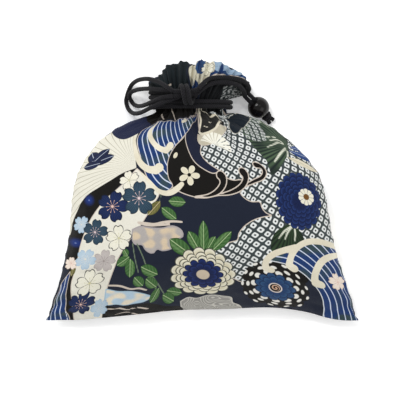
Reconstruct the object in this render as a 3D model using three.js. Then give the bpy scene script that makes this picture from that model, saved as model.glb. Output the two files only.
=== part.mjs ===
// Kinchaku drawstring pouch: a stuffed cotton bag lying on its back, pulled shut at the neck.
// Its black drawstring is wound once round the neck, tied in a slip bow, and carries one bead.
// Millimetres. +X to the right, +Y from the hem to the gathered mouth, +Z up.
// The origin is on the floor, under the middle of the bag.
import * as THREE from 'three';
import { mergeVertices } from 'three/addons/utils/BufferGeometryUtils.js';

// Driving dimensions of the bag.
const BAG_WIDTH = 230; // across the two bottom corners
const BAG_LENGTH = 191.2; // from the bottom corners to the ruffle's edge
const BAG_HEIGHT = 62; // of the filled body, from the floor
const HEM_BOW = 8.5; // how far the filled hem pulls up between its corners
const SECTION_SIDES = 36;

// The gathered neck, an oval that the drawstring is wound round.
const NECK = { x: -8.6, z: 20.5, halfWidth: 26.2, halfHeight: 13.4 };
const NECK_START = 58;
const NECK_END = 73.5;

// The drawstring.
const CORD_DIAMETER = 3.2;
const CORD_SIDES = 8;
const CORD_PITCH = 3.5; // between two strands that lie side by side
const CORD_STEP = 10.2; // length of one straight step of a cord's solid
const WRAP = { halfWidth: 29.4, halfHeight: 16.6, frontY: 64.7, backShift: 7.1 };

// The slip bow, a short barrel of turns with its axis along X.
const BOW = { x: -12.2, y: 69.2, z: 47.6, radius: 8, halfLength: 7.2 };

// The bead and the straight stretch of doubled cord that it slides on.
const BEAD = { x: 41.3, y: 61.5, z: 8.35, radius: 8, boreRadius: 3.75, rimRadius: 4.4 };
const BEAD_SLOPE = 24; // degrees that its axis falls towards the end knot
const BEAD_HEADING = -46; // degrees of its axis in plan
const STRAIGHT_ABOVE_BEAD = 14.5;
const END_KNOT = { radius: 4.1, length: 6.6, gap: 0.35 };

const FABRIC = { color: 0x23283c, roughness: 0.9, metalness: 0 };
const CORD = { color: 0x121214, roughness: 0.85, metalness: 0 };
const GLOSS = { color: 0x0b0a0b, roughness: 0.15, metalness: 0 };

const pouch = new THREE.Group();
pouch.name = 'kinchaku';

function vector(point) {
  return new THREE.Vector3(...point);
}

function addMesh(name, geometry, look, parent = pouch) {
  const mesh = new THREE.Mesh(geometry, new THREE.MeshStandardMaterial(look));
  mesh.name = name;
  parent.add(mesh);
  return mesh;
}

// A closed skin over rings of equal point count, with a fan over each end ring.
function loft(rings) {
  const sides = rings[0].length;
  const positions = rings.flat().flatMap((point) => point.toArray());
  const faces = [];
  for (let ring = 0; ring + 1 < rings.length; ring += 1) {
    for (let side = 0; side < sides; side += 1) {
      const here = ring * sides + side;
      const next = ring * sides + (side + 1) % sides;
      faces.push(here, here + sides, next);
      faces.push(next, here + sides, next + sides);
    }
  }
  for (const [ring, flip] of [[0, false], [rings.length - 1, true]]) {
    const middle = positions.length / 3;
    const sum = rings[ring].reduce((total, point) => total.add(point), new THREE.Vector3());
    positions.push(...sum.divideScalar(sides).toArray());
    for (let side = 0; side < sides; side += 1) {
      const here = ring * sides + side;
      const next = ring * sides + (side + 1) % sides;
      faces.push(middle, flip ? next : here, flip ? here : next);
    }
  }
  const geometry = new THREE.BufferGeometry();
  geometry.setAttribute('position', new THREE.Float32BufferAttribute(positions, 3));
  geometry.setIndex(faces);
  geometry.computeVertexNormals();
  return geometry;
}

// One cross-section of the bag: an oval from left to right, flattened where it meets the floor.
function bagRing({ y, left, right, top, bottom, bow = 0 }) {
  const middle = (left + right) / 2;
  const halfWidth = (right - left) / 2;
  const waist = (top + bottom) / 2;
  const halfHeight = (top - bottom) / 2;
  return Array.from({ length: SECTION_SIDES }, (_, side) => {
    const angle = 2 * Math.PI * side / SECTION_SIDES;
    const across = Math.cos(angle);
    const height = waist + halfHeight * Math.sin(angle);
    const rise = bow * (1 - across * across);
    return new THREE.Vector3(middle + halfWidth * across, y + rise, Math.max(0, height));
  });
}

function bagGeometry() {
  const corner = BAG_WIDTH / 2;
  const end = BAG_LENGTH / 2;
  const neck = {
    left: NECK.x - NECK.halfWidth,
    right: NECK.x + NECK.halfWidth,
    top: NECK.z + NECK.halfHeight,
    bottom: NECK.z - NECK.halfHeight,
  };
  const sections = [
    { y: -end, left: -corner, right: corner, top: 15, bottom: 8, bow: HEM_BOW },
    { y: -88, left: -113, right: 113, top: 29, bottom: 1, bow: HEM_BOW * 0.8 },
    { y: -76, left: -108, right: 108.5, top: 43, bottom: -6, bow: HEM_BOW * 0.4 },
    { y: -60, left: -101, right: 103.5, top: 54, bottom: -9 },
    { y: -40, left: -97, right: 97, top: 60, bottom: -10 },
    { y: -15, left: -95, right: 92, top: BAG_HEIGHT, bottom: -10 },
    { y: 5, left: -92.5, right: 87.5, top: 61, bottom: -9 },
    { y: 20, left: -87, right: 80, top: 57.5, bottom: -7 },
    { y: 32, left: -78.5, right: 67, top: 53, bottom: -5 },
    { y: 42, left: -66, right: 56, top: 48, bottom: -3 },
    { y: 50, left: -53, right: 43, top: 42, bottom: 0 },
    { y: 55, left: -42, right: 28, top: 37.5, bottom: 4 },
    { y: NECK_START, ...neck },
    { y: NECK_END, ...neck },
    { y: 76.5, left: -38, right: 26, top: 35, bottom: 3 },
    { y: 82, left: -36, right: 29, top: 35, bottom: -3 },
    { y: 89, left: -29, right: 24, top: 33, bottom: -3 },
    { y: end, left: -18, right: 12, top: 26, bottom: 5 },
  ];
  return loft(sections.map(bagRing));
}

// A round cord along a smooth line through the given points.
function cordGeometry(points) {
  const path = new THREE.CatmullRomCurve3(points.map(vector), false, 'centripetal');
  const outline = new THREE.Shape();
  for (let side = 0; side < CORD_SIDES; side += 1) {
    const angle = 2 * Math.PI * side / CORD_SIDES;
    const across = CORD_DIAMETER / 2 * Math.cos(angle);
    const up = CORD_DIAMETER / 2 * Math.sin(angle);
    outline[side ? 'lineTo' : 'moveTo'](across, up);
  }
  outline.closePath();
  const steps = Math.max(4, Math.round(path.getLength() / CORD_STEP));
  return new THREE.ExtrudeGeometry(outline, { steps, bevelEnabled: false, extrudePath: path });
}

// From the casing's slit at the left, over the front, round the back and up to the bow.
// The strand with side -1 lies nearer to the body, the one with side 1 nearer to the mouth.
function wrapRoute(side) {
  const points = [];
  const offset = side * CORD_PITCH / 2;
  for (let turn = 205; turn >= -215; turn -= 20) {
    const angle = THREE.MathUtils.degToRad(turn);
    const shift = THREE.MathUtils.smoothstep(-turn, 10, 170) * WRAP.backShift;
    points.push([
      NECK.x + WRAP.halfWidth * Math.cos(angle),
      WRAP.frontY - CORD_PITCH / 2 + offset + shift,
      NECK.z + WRAP.halfHeight * Math.sin(angle),
    ]);
  }
  points.push([-25.6, BOW.y + 0.6 + offset, 36.6]);
  points.push([-20.6, BOW.y - 0.6 + offset, 41.6]);
  return points;
}

const OUTER_LOOP = [
  [-20.9, 71.2, 50],
  [-25, 74.2, 48.2],
  [-31, 78.2, 42],
  [-37.6, 80.9, 33.5],
  [-44.2, 81.6, 22],
  [-48.8, 80.7, 12],
  [-52.2, 78.4, 5],
  [-54.2, 75, 2],
  [-55.6, 71, 1.9],
  [-56.4, 66.4, 1.9],
  [-55.2, 61.6, 4],
  [-52, 57.8, 11],
  [-47.6, 56.6, 21.5],
  [-43, 57.6, 31],
  [-38.6, 59.4, 38.4],
  [-33.6, 61.4, 43],
  [-27.4, 64, 46],
  [-20.9, 66.2, 46.4],
];

const INNER_LOOP = [
  [-20.6, 71.7, 46.2],
  [-26, 72.4, 44.6],
  [-32, 73.2, 40],
  [-38, 74, 33.4],
  [-44.2, 74.4, 22.5],
  [-49.3, 74, 12.5],
  [-52.9, 72.4, 7.6],
  [-53.9, 69.8, 5.8],
  [-52.8, 67, 3.2],
  [-51, 64.4, 4],
  [-47.8, 62.6, 11],
  [-44.4, 62.2, 21],
  [-40.6, 62.8, 31],
  [-36, 64.4, 39.4],
  [-28.5, 67, 46.8],
  [-20.6, 68, 49.6],
];

const TAIL_A = [
  [-3.2, 73, 48],
  [0.4, 77.2, 45],
  [5, 80.9, 41],
  [14, 82, 38.2],
  [22, 81.6, 36.2],
  [28.6, 80.3, 31.5],
  [32.6, 77.8, 24.5],
  [34.2, 74.6, 18.2],
];

const TAIL_B = [
  [-3.4, 70.4, 44.4],
  [0.6, 74, 42.4],
  [6, 77.2, 39.6],
  [14, 78.4, 38],
  [21, 77.9, 35.8],
  [26.6, 76.2, 30.5],
  [29.6, 73.8, 23],
  [30.8, 71.6, 17.6],
];

const slope = THREE.MathUtils.degToRad(BEAD_SLOPE);
const heading = THREE.MathUtils.degToRad(BEAD_HEADING);
const beadCentre = new THREE.Vector3(BEAD.x, BEAD.y, BEAD.z);
const beadAxis = new THREE.Vector3(
  Math.cos(slope) * Math.cos(heading),
  Math.cos(slope) * Math.sin(heading),
  -Math.sin(slope),
);
const beadSide = new THREE.Vector3(-Math.sin(heading), Math.cos(heading), 0);
const beadFace = Math.sqrt(BEAD.radius ** 2 - BEAD.rimRadius ** 2);
const endKnotStart = beadFace + END_KNOT.gap;

// A point on one strand of the doubled cord, at a distance past the bead's centre.
function strandPoint(along, side) {
  return beadCentre.clone()
    .addScaledVector(beadAxis, along)
    .addScaledVector(beadSide, side * CORD_PITCH / 2)
    .toArray();
}

// A tail runs over the ruffle, then straight through the bead to the end knot.
function tailRoute(route, side) {
  const straight = [-STRAIGHT_ABOVE_BEAD, -9, -3, 2, endKnotStart - 0.3];
  return [...route, ...straight.map((along) => strandPoint(along, side))];
}

// A body of revolution about a line from start, along axis.
function turned(profile, start, axis, segments) {
  const geometry = new THREE.LatheGeometry(profile.map((p) => new THREE.Vector2(...p)), segments);
  const turn = new THREE.Quaternion().setFromUnitVectors(new THREE.Vector3(0, 1, 0), axis);
  geometry.applyQuaternion(turn);
  geometry.translate(...start.toArray());
  geometry.deleteAttribute('normal');
  geometry.deleteAttribute('uv');
  const merged = mergeVertices(geometry, 1e-4);
  merged.computeVertexNormals();
  return merged;
}

function beadGeometry() {
  const profile = [];
  const edge = Math.asin(BEAD.rimRadius / BEAD.radius);
  const steps = 12;
  profile.push([BEAD.boreRadius, beadFace - 0.8]);
  profile.push([BEAD.boreRadius, -beadFace + 0.8]);
  for (let step = 0; step <= steps; step += 1) {
    const angle = edge + (Math.PI - 2 * edge) * step / steps;
    profile.push([BEAD.radius * Math.sin(angle), -BEAD.radius * Math.cos(angle)]);
  }
  profile.push(profile[0]);
  return turned(profile, beadCentre, beadAxis, 24);
}

// The knot in the two cord ends: a stout cone with a rounded shoulder.
function endKnotGeometry() {
  const { radius, length } = END_KNOT;
  const profile = [
    [0, 0],
    [radius * 0.82, 0],
    [radius, length * 0.16],
    [radius, length * 0.5],
    [radius * 0.86, length * 0.76],
    [radius * 0.58, length],
    [0, length],
  ];
  const start = beadCentre.clone().addScaledVector(beadAxis, endKnotStart);
  return turned(profile, start, beadAxis, 16);
}

function bowGeometry() {
  const profile = [[0, -BOW.halfLength]];
  const steps = 6;
  for (let step = 0; step <= steps; step += 1) {
    const angle = Math.PI * (step / steps - 0.5);
    const bulge = 0.62 + 0.38 * Math.cos(angle);
    profile.push([BOW.radius * bulge, BOW.halfLength * Math.sin(angle)]);
  }
  profile.push([0, BOW.halfLength]);
  return turned(profile, new THREE.Vector3(BOW.x, BOW.y, BOW.z), new THREE.Vector3(1, 0, 0), 20);
}

addMesh('bag', bagGeometry(), FABRIC);
addMesh('cord_wrap_a', cordGeometry(wrapRoute(1)), CORD);
addMesh('cord_wrap_b', cordGeometry(wrapRoute(-1)), CORD);
addMesh('bow_knot', bowGeometry(), CORD);
addMesh('cord_loop_outer', cordGeometry(OUTER_LOOP), CORD);
addMesh('cord_loop_inner', cordGeometry(INNER_LOOP), CORD);
addMesh('cord_tail_a', cordGeometry(tailRoute(TAIL_A, 1)), CORD);
addMesh('cord_tail_b', cordGeometry(tailRoute(TAIL_B, -1)), CORD);
addMesh('bead', beadGeometry(), GLOSS);
addMesh('end_knot', endKnotGeometry(), CORD);

export default pouch;
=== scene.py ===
"""Kinchaku drawstring pouch: a printed cotton bag lying on its back, its braided cord, bead and knots.

Lists of places are in millimetres, in the row's frame: +X right, +Y from the hem to the mouth, +Z up.
mm() turns them into metres, which every Blender object here is in.
"""
import math

import bmesh
import bpy
import numpy as np
from mathutils import Matrix, Vector, kdtree


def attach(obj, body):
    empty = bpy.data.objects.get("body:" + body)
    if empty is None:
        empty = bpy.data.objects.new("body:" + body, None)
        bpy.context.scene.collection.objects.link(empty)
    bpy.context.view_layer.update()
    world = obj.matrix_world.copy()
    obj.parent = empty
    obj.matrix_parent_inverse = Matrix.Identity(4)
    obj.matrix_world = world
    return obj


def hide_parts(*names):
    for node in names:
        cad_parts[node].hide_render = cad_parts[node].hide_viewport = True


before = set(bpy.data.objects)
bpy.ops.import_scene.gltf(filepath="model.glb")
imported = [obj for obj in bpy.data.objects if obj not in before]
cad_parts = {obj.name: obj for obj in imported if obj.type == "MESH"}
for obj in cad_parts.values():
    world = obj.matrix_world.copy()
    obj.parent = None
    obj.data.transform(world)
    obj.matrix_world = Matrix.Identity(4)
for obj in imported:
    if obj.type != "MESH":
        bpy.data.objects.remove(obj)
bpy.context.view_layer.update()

MM = 0.001


def mm(values):
    """Millimetres as an array of metres."""
    return np.asarray(values, float) * MM


def new_object(name, data):
    """An object at the origin that carries the data, in the scene."""
    made = bpy.data.objects.new(name, data)
    bpy.context.scene.collection.objects.link(made)
    return made


def from_bmesh(name, bm):
    """An object whose mesh is the finished bmesh."""
    data = bpy.data.meshes.new(name)
    bm.to_mesh(data)
    bm.free()
    return new_object(name, data)


# ---------------------------------------------------------------- camera

VIEW_WIDTH = 292 * MM  # what the picture spans at the height of the bag's outline
VIEW_CENTRE = mm([-1.8, -6.6])
OUTLINE_HEIGHT = 22 * MM
CAMERA_HEIGHT = 1.5
SENSOR = 36.0


def add_camera():
    """A long lens straight above the bag, with the mouth up."""
    data = bpy.data.cameras.new("camera")
    data.sensor_width = SENSOR
    data.lens = SENSOR * (CAMERA_HEIGHT - OUTLINE_HEIGHT) / VIEW_WIDTH
    camera = new_object("camera", data)
    camera.location = (*VIEW_CENTRE, CAMERA_HEIGHT)
    bpy.context.scene.camera = camera


add_camera()

# ---------------------------------------------------------------- lines and meshes


def smooth_line(points, step):
    """Points a step apart along the centripetal Catmull-Rom line through points."""
    p = np.asarray(points, float)
    p = np.vstack([2 * p[0] - p[1], p, 2 * p[-1] - p[-2]])
    dense = []
    for a, b, c, d in zip(p, p[1:], p[2:], p[3:]):
        t0, t1, t2 = (math.sqrt(np.linalg.norm(q - r)) for q, r in ((b, a), (c, b), (d, c)))
        leave = t1 * ((b - a) / t0 - (c - a) / (t0 + t1) + (c - b) / t1)
        arrive = t1 * ((c - b) / t1 - (d - b) / (t1 + t2) + (d - c) / t2)
        u = np.linspace(0, 1, 24, endpoint=False)[:, None]
        dense.append((2 * b - 2 * c + leave + arrive) * u**3
                     + (3 * c - 3 * b - 2 * leave - arrive) * u**2 + leave * u + b)
    dense = np.vstack([*dense, p[-2]])
    run = np.concatenate([[0], np.cumsum(np.linalg.norm(np.diff(dense, axis=0), axis=1))])
    at = np.linspace(0, run[-1], max(3, int(round(run[-1] / step)) + 1))
    return np.column_stack([np.interp(at, run, dense[:, k]) for k in range(p.shape[1])])


def carried_frames(line):
    """Two unit vectors across the line at each of its points, carried along without twist."""
    ahead = np.gradient(line, axis=0)
    ahead /= np.linalg.norm(ahead, axis=1)[:, None]
    side = np.cross(ahead[0], (0.13, 0.31, 0.94))
    sides = []
    for direction in ahead:
        side = side - direction * side.dot(direction)
        side = side / np.linalg.norm(side)
        sides.append(side)
    sides = np.array(sides)
    return sides, np.cross(ahead, sides)


def mesh_object(name, vertices, faces):
    """A mesh at the origin, smooth shaded, from vertices in metres."""
    data = bpy.data.meshes.new(name)
    data.from_pydata(vertices.tolist(), [], faces)
    data.shade_smooth()
    return new_object(name, data)


def add_attribute(piece, name, values):
    """One number, or one colour with alpha, for each vertex."""
    kind = "FLOAT" if values.ndim == 1 else "FLOAT_COLOR"
    attribute = piece.data.attributes.new(name, kind, "POINT")
    attribute.data.foreach_set("value" if values.ndim == 1 else "color", values.astype(np.float32).ravel())


# ---------------------------------------------------------------- drawstring

CORD_DIAMETER = 3.2
CORD_PITCH = 3.5
NECK = {"x": -8.6, "z": 20.5, "half_width": 27.8, "half_height": 15.0}
WRAP = {"half_width": 29.4, "half_height": 16.6, "front_y": 64.7, "back_shift": 7.1}
BOW = {"x": -12.2, "y": 69.2, "z": 47.6, "turn_radius": 6.2}
BEAD = {"centre": (41.3, 61.5, 8.35), "radius": 8.0, "bore": 3.75, "rim": 4.4}
BEAD_SLOPE = math.radians(24)
BEAD_HEADING = math.radians(-46)
STRAIGHT_ABOVE_BEAD = 14.5
END_KNOT_GAP = 0.35
BEAD_SIDES = 80
BALL_STEPS = 28  # along the ball's profile, from rim to rim
RIM_STEPS = 6

OUTER_LOOP = [
    (-20.9, 71.2, 50), (-25, 74.2, 48.2), (-31, 78.2, 42), (-37.6, 80.9, 33.5), (-44.2, 81.6, 22),
    (-48.8, 80.7, 12), (-52.2, 78.4, 5), (-54.2, 75, 2), (-55.6, 71, 1.9), (-56.4, 66.4, 1.9),
    (-55.2, 61.6, 4), (-52, 57.8, 11), (-47.6, 56.6, 21.5), (-43, 57.6, 31), (-38.6, 59.4, 38.4),
    (-33.6, 61.4, 43), (-27.4, 64, 46), (-20.9, 66.2, 46.4),
]
INNER_LOOP = [
    (-20.6, 71.7, 46.2), (-26, 72.4, 44.6), (-32, 73.2, 40), (-38, 74, 33.4), (-44.2, 74.4, 22.5),
    (-49.3, 74, 12.5), (-52.9, 72.4, 7.6), (-53.9, 69.8, 5.8), (-52.8, 67, 3.2), (-51, 64.4, 4),
    (-47.8, 62.6, 11), (-44.4, 62.2, 21), (-40.6, 62.8, 31), (-36, 64.4, 39.4), (-28.5, 67, 46.8),
    (-20.6, 68, 49.6),
]
TAIL_A = [
    (-3.2, 73, 48), (0.4, 77.2, 45), (5, 80.9, 41), (14, 82, 38.2), (22, 81.6, 36.2),
    (28.6, 80.3, 31.5), (32.6, 77.8, 24.5), (34.2, 74.6, 18.2),
]
TAIL_B = [
    (-3.4, 70.4, 44.4), (0.6, 74, 42.4), (6, 77.2, 39.6), (14, 78.4, 38), (21, 77.9, 35.8),
    (26.6, 76.2, 30.5), (29.6, 73.8, 23), (30.8, 71.6, 17.6),
]

bead_centre = np.array(BEAD["centre"])
bead_axis = np.array([
    math.cos(BEAD_SLOPE) * math.cos(BEAD_HEADING),
    math.cos(BEAD_SLOPE) * math.sin(BEAD_HEADING),
    -math.sin(BEAD_SLOPE),
])
bead_side = np.array([-math.sin(BEAD_HEADING), math.cos(BEAD_HEADING), 0.0])
bead_face = math.sqrt(BEAD["radius"] ** 2 - BEAD["rim"] ** 2)
knot_start = bead_face + END_KNOT_GAP


def smoothstep(value, low, high):
    t = np.clip((np.asarray(value, float) - low) / (high - low), 0, 1)
    return t * t * (3 - 2 * t)


def wrap_route(side):
    """From the casing's slit at the left, over the front, round the back and up to the bow."""
    offset = side * CORD_PITCH / 2
    points = []
    for turn in range(205, -216, -20):
        angle = math.radians(turn)
        shift = float(smoothstep(-turn, 10, 170)) * WRAP["back_shift"]
        points.append((
            NECK["x"] + WRAP["half_width"] * math.cos(angle),
            WRAP["front_y"] - CORD_PITCH / 2 + offset + shift,
            NECK["z"] + WRAP["half_height"] * math.sin(angle),
        ))
    points.append((-25.6, BOW["y"] + 0.6 + offset, 36.6))
    points.append((-20.6, BOW["y"] - 0.6 + offset, 41.6))
    return points


def strand_point(along, side):
    """A point on one strand of the doubled cord, at a distance past the bead's centre."""
    return tuple(bead_centre + bead_axis * along + bead_side * side * CORD_PITCH / 2)


def tail_route(route, side):
    straight = (-STRAIGHT_ABOVE_BEAD, -9, -3, 2, knot_start - 0.3)
    return [*route, *(strand_point(along, side) for along in straight)]


TUBE_STEP = 0.42  # between the rings of a braided tube
TUBE_SIDES = 18
PLAITS = 4  # strands of the braid that turn each way
PLAIT_PITCH = 6.4  # length of one turn of a strand of the braid


def braid_relief(angle, along):
    """How far the braid's surface stands out, from 0 in its gaps to 1 on its strands."""
    turn = along * 2 * math.pi / PLAIT_PITCH
    rising = np.abs(np.sin((PLAITS * angle + PLAITS * turn) / 2))
    falling = np.abs(np.sin((PLAITS * angle - PLAITS * turn) / 2))
    return np.maximum(rising, falling) ** 1.5 * (0.55 + 0.45 * np.minimum(rising, falling))


def tube_skin(line, first):
    """Vertices, faces numbered from first, and relief of a closed braided tube along a line."""
    side, up = carried_frames(line)
    along = np.concatenate([[0], np.cumsum(np.linalg.norm(np.diff(line, axis=0), axis=1))])
    angle = np.linspace(0, 2 * math.pi, TUBE_SIDES, endpoint=False)
    relief = braid_relief(angle[None, :], along[:, None])
    reach = CORD_DIAMETER / 2 * (0.9 + 0.13 * relief)
    rings = (line[:, None, :] + reach[..., None] * (np.cos(angle)[None, :, None] * side[:, None, :]
                                                    + np.sin(angle)[None, :, None] * up[:, None, :]))
    vertices = np.vstack([rings.reshape(-1, 3), line[0], line[-1]])
    count = len(line)
    index = first + np.arange(count * TUBE_SIDES).reshape(count, TUBE_SIDES)
    turned = np.roll(index, -1, axis=1)
    faces = np.stack([index[:-1], turned[:-1], turned[1:], index[1:]], axis=-1).reshape(-1, 4).tolist()
    start, end = first + count * TUBE_SIDES, first + count * TUBE_SIDES + 1
    faces += [(start, b, a) for a, b in zip(index[0], turned[0])]
    faces += [(end, a, b) for a, b in zip(index[-1], turned[-1])]
    return vertices, faces, np.append(relief.ravel(), (0.5, 0.5))


def braided(name, routes):
    """One piece of braided cord along one or several routes."""
    vertices, faces, relief, lines = [], [], [], []
    for route in routes:
        line = smooth_line(route, TUBE_STEP)
        points, quads, heights = tube_skin(line, sum(len(v) for v in vertices))
        vertices.append(points)
        faces += [tuple(int(i) for i in face) for face in quads]
        relief.append(heights)
        lines.append(line)
    piece = mesh_object(name, mm(np.vstack(vertices)), faces)
    # The braid's relief, which also lays painted shade in its gaps.
    add_attribute(piece, "plait", np.concatenate(relief))
    return piece, lines


def bow_turn(side, start, loop_start):
    """One strand of the bow: once round the bundle, then in through it to its loop."""
    first = BOW["x"] - 3.1 - side * CORD_PITCH / 2
    points = [start]
    for turn in range(-75, 256, 30):
        angle = math.radians(turn)
        points.append((
            first + 2 * CORD_PITCH * (turn + 90) / 360,
            BOW["y"] + BOW["turn_radius"] * math.cos(angle),
            BOW["z"] + BOW["turn_radius"] * math.sin(angle),
        ))
    last = first + 2 * CORD_PITCH
    _, y, z = loop_start
    points += [(last + 1.3, BOW["y"] - 0.8, BOW["z"] - 4.2), (last + 0.9, y - 0.4, z - 1.6)]
    points += [(BOW["x"] - 2.5, y - 0.2, z - 0.2), loop_start]
    return points


def through_bow(loop_end, tail_start):
    """One strand of the bow: from its loop through the bundle to its tail."""
    middle = (np.array(loop_end) + np.array(tail_start)) / 2
    inward = middle + (np.array((BOW["x"], BOW["y"], BOW["z"])) - middle) * 0.5
    return [loop_end, tuple(inward), tail_start]


def end_knot_routes():
    """A stopper knot: a turn and three quarters round both strands, and their cut ends."""
    def around(along, radius, turn):
        angle = math.radians(turn)
        up = np.cross(bead_axis, bead_side)
        return tuple(bead_centre + bead_axis * along
                     + radius * (math.cos(angle) * bead_side + math.sin(angle) * up))
    turns = [around(knot_start + 1.5 + 2.9 * k / 14, 2.6 - 0.9 * k / 14, 45 * k) for k in range(15)]
    ends = [[strand_point(knot_start - 0.3, side), around(knot_start + 3, 1.0, 90 - 60 * side),
             around(knot_start + 6, 1.5, 90 - 75 * side), around(knot_start + 8.2, 1.9, 90 - 80 * side)]
            for side in (1, -1)]
    return [turns, *ends]


ROUTES = {
    "cord_wrap_a": wrap_route(1),
    "cord_wrap_b": wrap_route(-1),
    "cord_loop_outer": OUTER_LOOP,
    "cord_loop_inner": INNER_LOOP,
    "cord_tail_a": tail_route(TAIL_A, 1),
    "cord_tail_b": tail_route(TAIL_B, -1),
}
cords = {}
cord_lines = []
for cord_name, cord_route in ROUTES.items():
    cords[cord_name], made = braided("braid_" + cord_name[5:], [cord_route])
    cord_lines += made

bow, _ = braided("bow_turns", [
    bow_turn(1, ROUTES["cord_wrap_a"][-1], OUTER_LOOP[0]),
    bow_turn(-1, ROUTES["cord_wrap_b"][-1], INNER_LOOP[0]),
    through_bow(OUTER_LOOP[-1], TAIL_A[0]),
    through_bow(INNER_LOOP[-1], TAIL_B[0]),
])
stopper, _ = braided("stopper_knot", end_knot_routes())


def add_bead():
    """A turned ball with a wide bore and rolled rims, on its sloping axis."""
    face, rim, bore, radius = bead_face, BEAD["rim"], BEAD["bore"], BEAD["radius"]
    roll = rim - bore
    profile = []
    for step in range(RIM_STEPS + 1):
        angle = math.pi / 2 * step / RIM_STEPS
        profile.append((bore + roll * (1 - math.cos(angle)), face - 0.35 - roll * (1 - math.sin(angle))))
    edge = math.asin((rim + 0.5) / radius)
    for step in range(BALL_STEPS + 1):
        angle = edge + (math.pi - 2 * edge) * step / BALL_STEPS
        profile.append((radius * math.sin(angle), radius * math.cos(angle)))
    profile += [(r, -z) for r, z in profile[RIM_STEPS::-1]]
    bm = bmesh.new()
    ring = [bm.verts.new((r * MM, 0, z * MM)) for r, z in profile]
    edges = [bm.edges.new(pair) for pair in zip(ring, ring[1:] + ring[:1])]
    bmesh.ops.spin(bm, geom=ring + edges, cent=(0, 0, 0), axis=(0, 0, 1), angle=2 * math.pi,
                   steps=BEAD_SIDES, use_merge=True)
    bmesh.ops.remove_doubles(bm, verts=bm.verts, dist=1e-6)
    turn = Vector((0, 0, 1)).rotation_difference(Vector(-bead_axis)).to_matrix().to_4x4()
    bmesh.ops.transform(bm, matrix=Matrix.Translation(bead_centre * MM) @ turn, verts=bm.verts)
    bmesh.ops.recalc_face_normals(bm, faces=bm.faces)
    piece = from_bmesh("ball_bead", bm)
    piece.data.shade_smooth()
    return piece


ball = add_bead()

# ---------------------------------------------------------------- bag: the cloth's shape

COLUMNS = 212  # spaces between the side seams, on the front and again on the back
HALF_CLOTH = 108.0  # half the width of a panel's cloth
HEM_ROWS = [-95.2, -94.6, -93.8]  # the rows that round the hem
BODY_START = -92.8
BODY_ROWS = 150
NECK_ROWS = 12
RUFFLE_ROWS = 33
TYPICAL_HALF_WIDTH = 95
TYPICAL_HALF_DEPTH = 30
NECK_BOTTOM = 59.4
INSIDE_GAP = 1.0  # between the ruffle's outside and its inside
FLOOR_GAP = 0.35

# Rows of the filled body: y at the side seams, left, right, top, bottom and side seam's height.
BODY = [
    (-95.2, -115, 115, 11.5, 9.5, 10.5), (-93.5, -114.6, 114.4, 16, 6, 10.8),
    (-88.3, -113.3, 112.7, 26, 2, 12), (-82.5, -111.2, 111.2, 34.5, -2, 13.5),
    (-76.6, -109, 109, 41, -5, 15), (-70.8, -106.4, 106.7, 46, -7, 17),
    (-59, -102.7, 102.3, 53, -9, 20), (-47.5, -100, 98.3, 57.5, -10, 22),
    (-35.8, -97.6, 95.3, 60.3, -10, 23), (-21.2, -96, 92.6, 61.6, -10, 24),
    (-3.7, -94.6, 89.6, 61.2, -9, 24), (5.1, -93, 87.2, 60.3, -8, 24), (13.9, -90.2, 83.8, 59, -8, 24),
    (19.7, -87.3, 79.4, 57.5, -7, 24), (25.6, -83.6, 74.6, 55.5, -6, 24),
    (31.4, -79.4, 69, 53, -5, 23.5), (37.2, -74, 62.4, 50.3, -4, 23), (43.1, -66.6, 55.2, 47, -2, 22.5),
    (48.9, -57.5, 46.6, 43.2, 0, 22), (53, -49.4, 38.6, 40, 2.5, 21.5), (56.5, -41.8, 28.2, 37, 4.6, 21),
    (NECK_BOTTOM, -36.4, 19.2, 35.5, 5.5, 20.5),
]
# The hem as it pulls up between the corners: x and y.
HEM = [(-115, -95.2), (-93, -94.9), (-74.8, -93.4), (-53, -91.3), (-16.4, -87.6), (12.8, -86.9),
       (60, -86.4), (78.5, -89.5), (93, -93.6), (104, -95.4), (115, -95.2)]
# The ruffle's edge from the left side seam to the right one: x, y, front height, back height.
RUFFLE = [
    (-1.0, -39.5, 75.5, 16, 6), (-0.8, -37.8, 81.5, 22, 3), (-0.6, -30, 86.5, 28, 2),
    (-0.45, -25.6, 91.5, 31, 2), (-0.25, -16, 94.6, 32, 2), (-0.1, -8.6, 93, 32, 2),
    (0.1, -1, 95, 32, 2), (0.3, 8, 94.4, 31, 2), (0.5, 18, 91.8, 29, 2), (0.65, 26, 88.4, 26, 2),
    (0.8, 32, 82.4, 20, 2), (0.9, 34.8, 77, 13, 3), (1.0, 33.3, 71, 8, 5),
]
# Where the ruffle leaves the neck: turn round the neck in degrees, from the right over the front, and y.
NECK_TOP = [(-10, 66.9), (0, 66.9), (90, 66.9), (118, 68), (145, 73.8), (200, 73.8), (270, 70.4), (350, 66.9)]


def through(stations, at):
    """Smooth columns of values through stations, whose first column is what at runs along."""
    table = np.asarray(stations, float)
    x, y = table[:, 0], table[:, 1:]
    slope = np.gradient(y, x, axis=0)
    at = np.clip(np.asarray(at, float), x[0], x[-1])
    k = np.clip(np.searchsorted(x, at, side="right") - 1, 0, len(x) - 2)
    span = (x[k + 1] - x[k])[..., None]
    u = (at - x[k])[..., None] / span
    return ((1 + 2 * u) * (1 - u) ** 2 * y[k] + u * (1 - u) ** 2 * span * slope[k]
            + u**2 * (3 - 2 * u) * y[k + 1] - u**2 * (1 - u) * span * slope[k + 1])


def column_turns():
    """The turn round the section of each column, evenly spaced along the cloth of a typical row."""
    fine = np.linspace(0, math.pi, 2001)
    speed = np.hypot(TYPICAL_HALF_WIDTH * np.sin(fine), TYPICAL_HALF_DEPTH * np.cos(fine))
    run = np.concatenate([[0], np.cumsum((speed[1:] + speed[:-1]) / 2)])
    half = np.interp(np.linspace(0, run[-1], COLUMNS + 1), run, fine)
    return np.concatenate([half[:-1], 2 * math.pi - half[:0:-1]])


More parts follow.
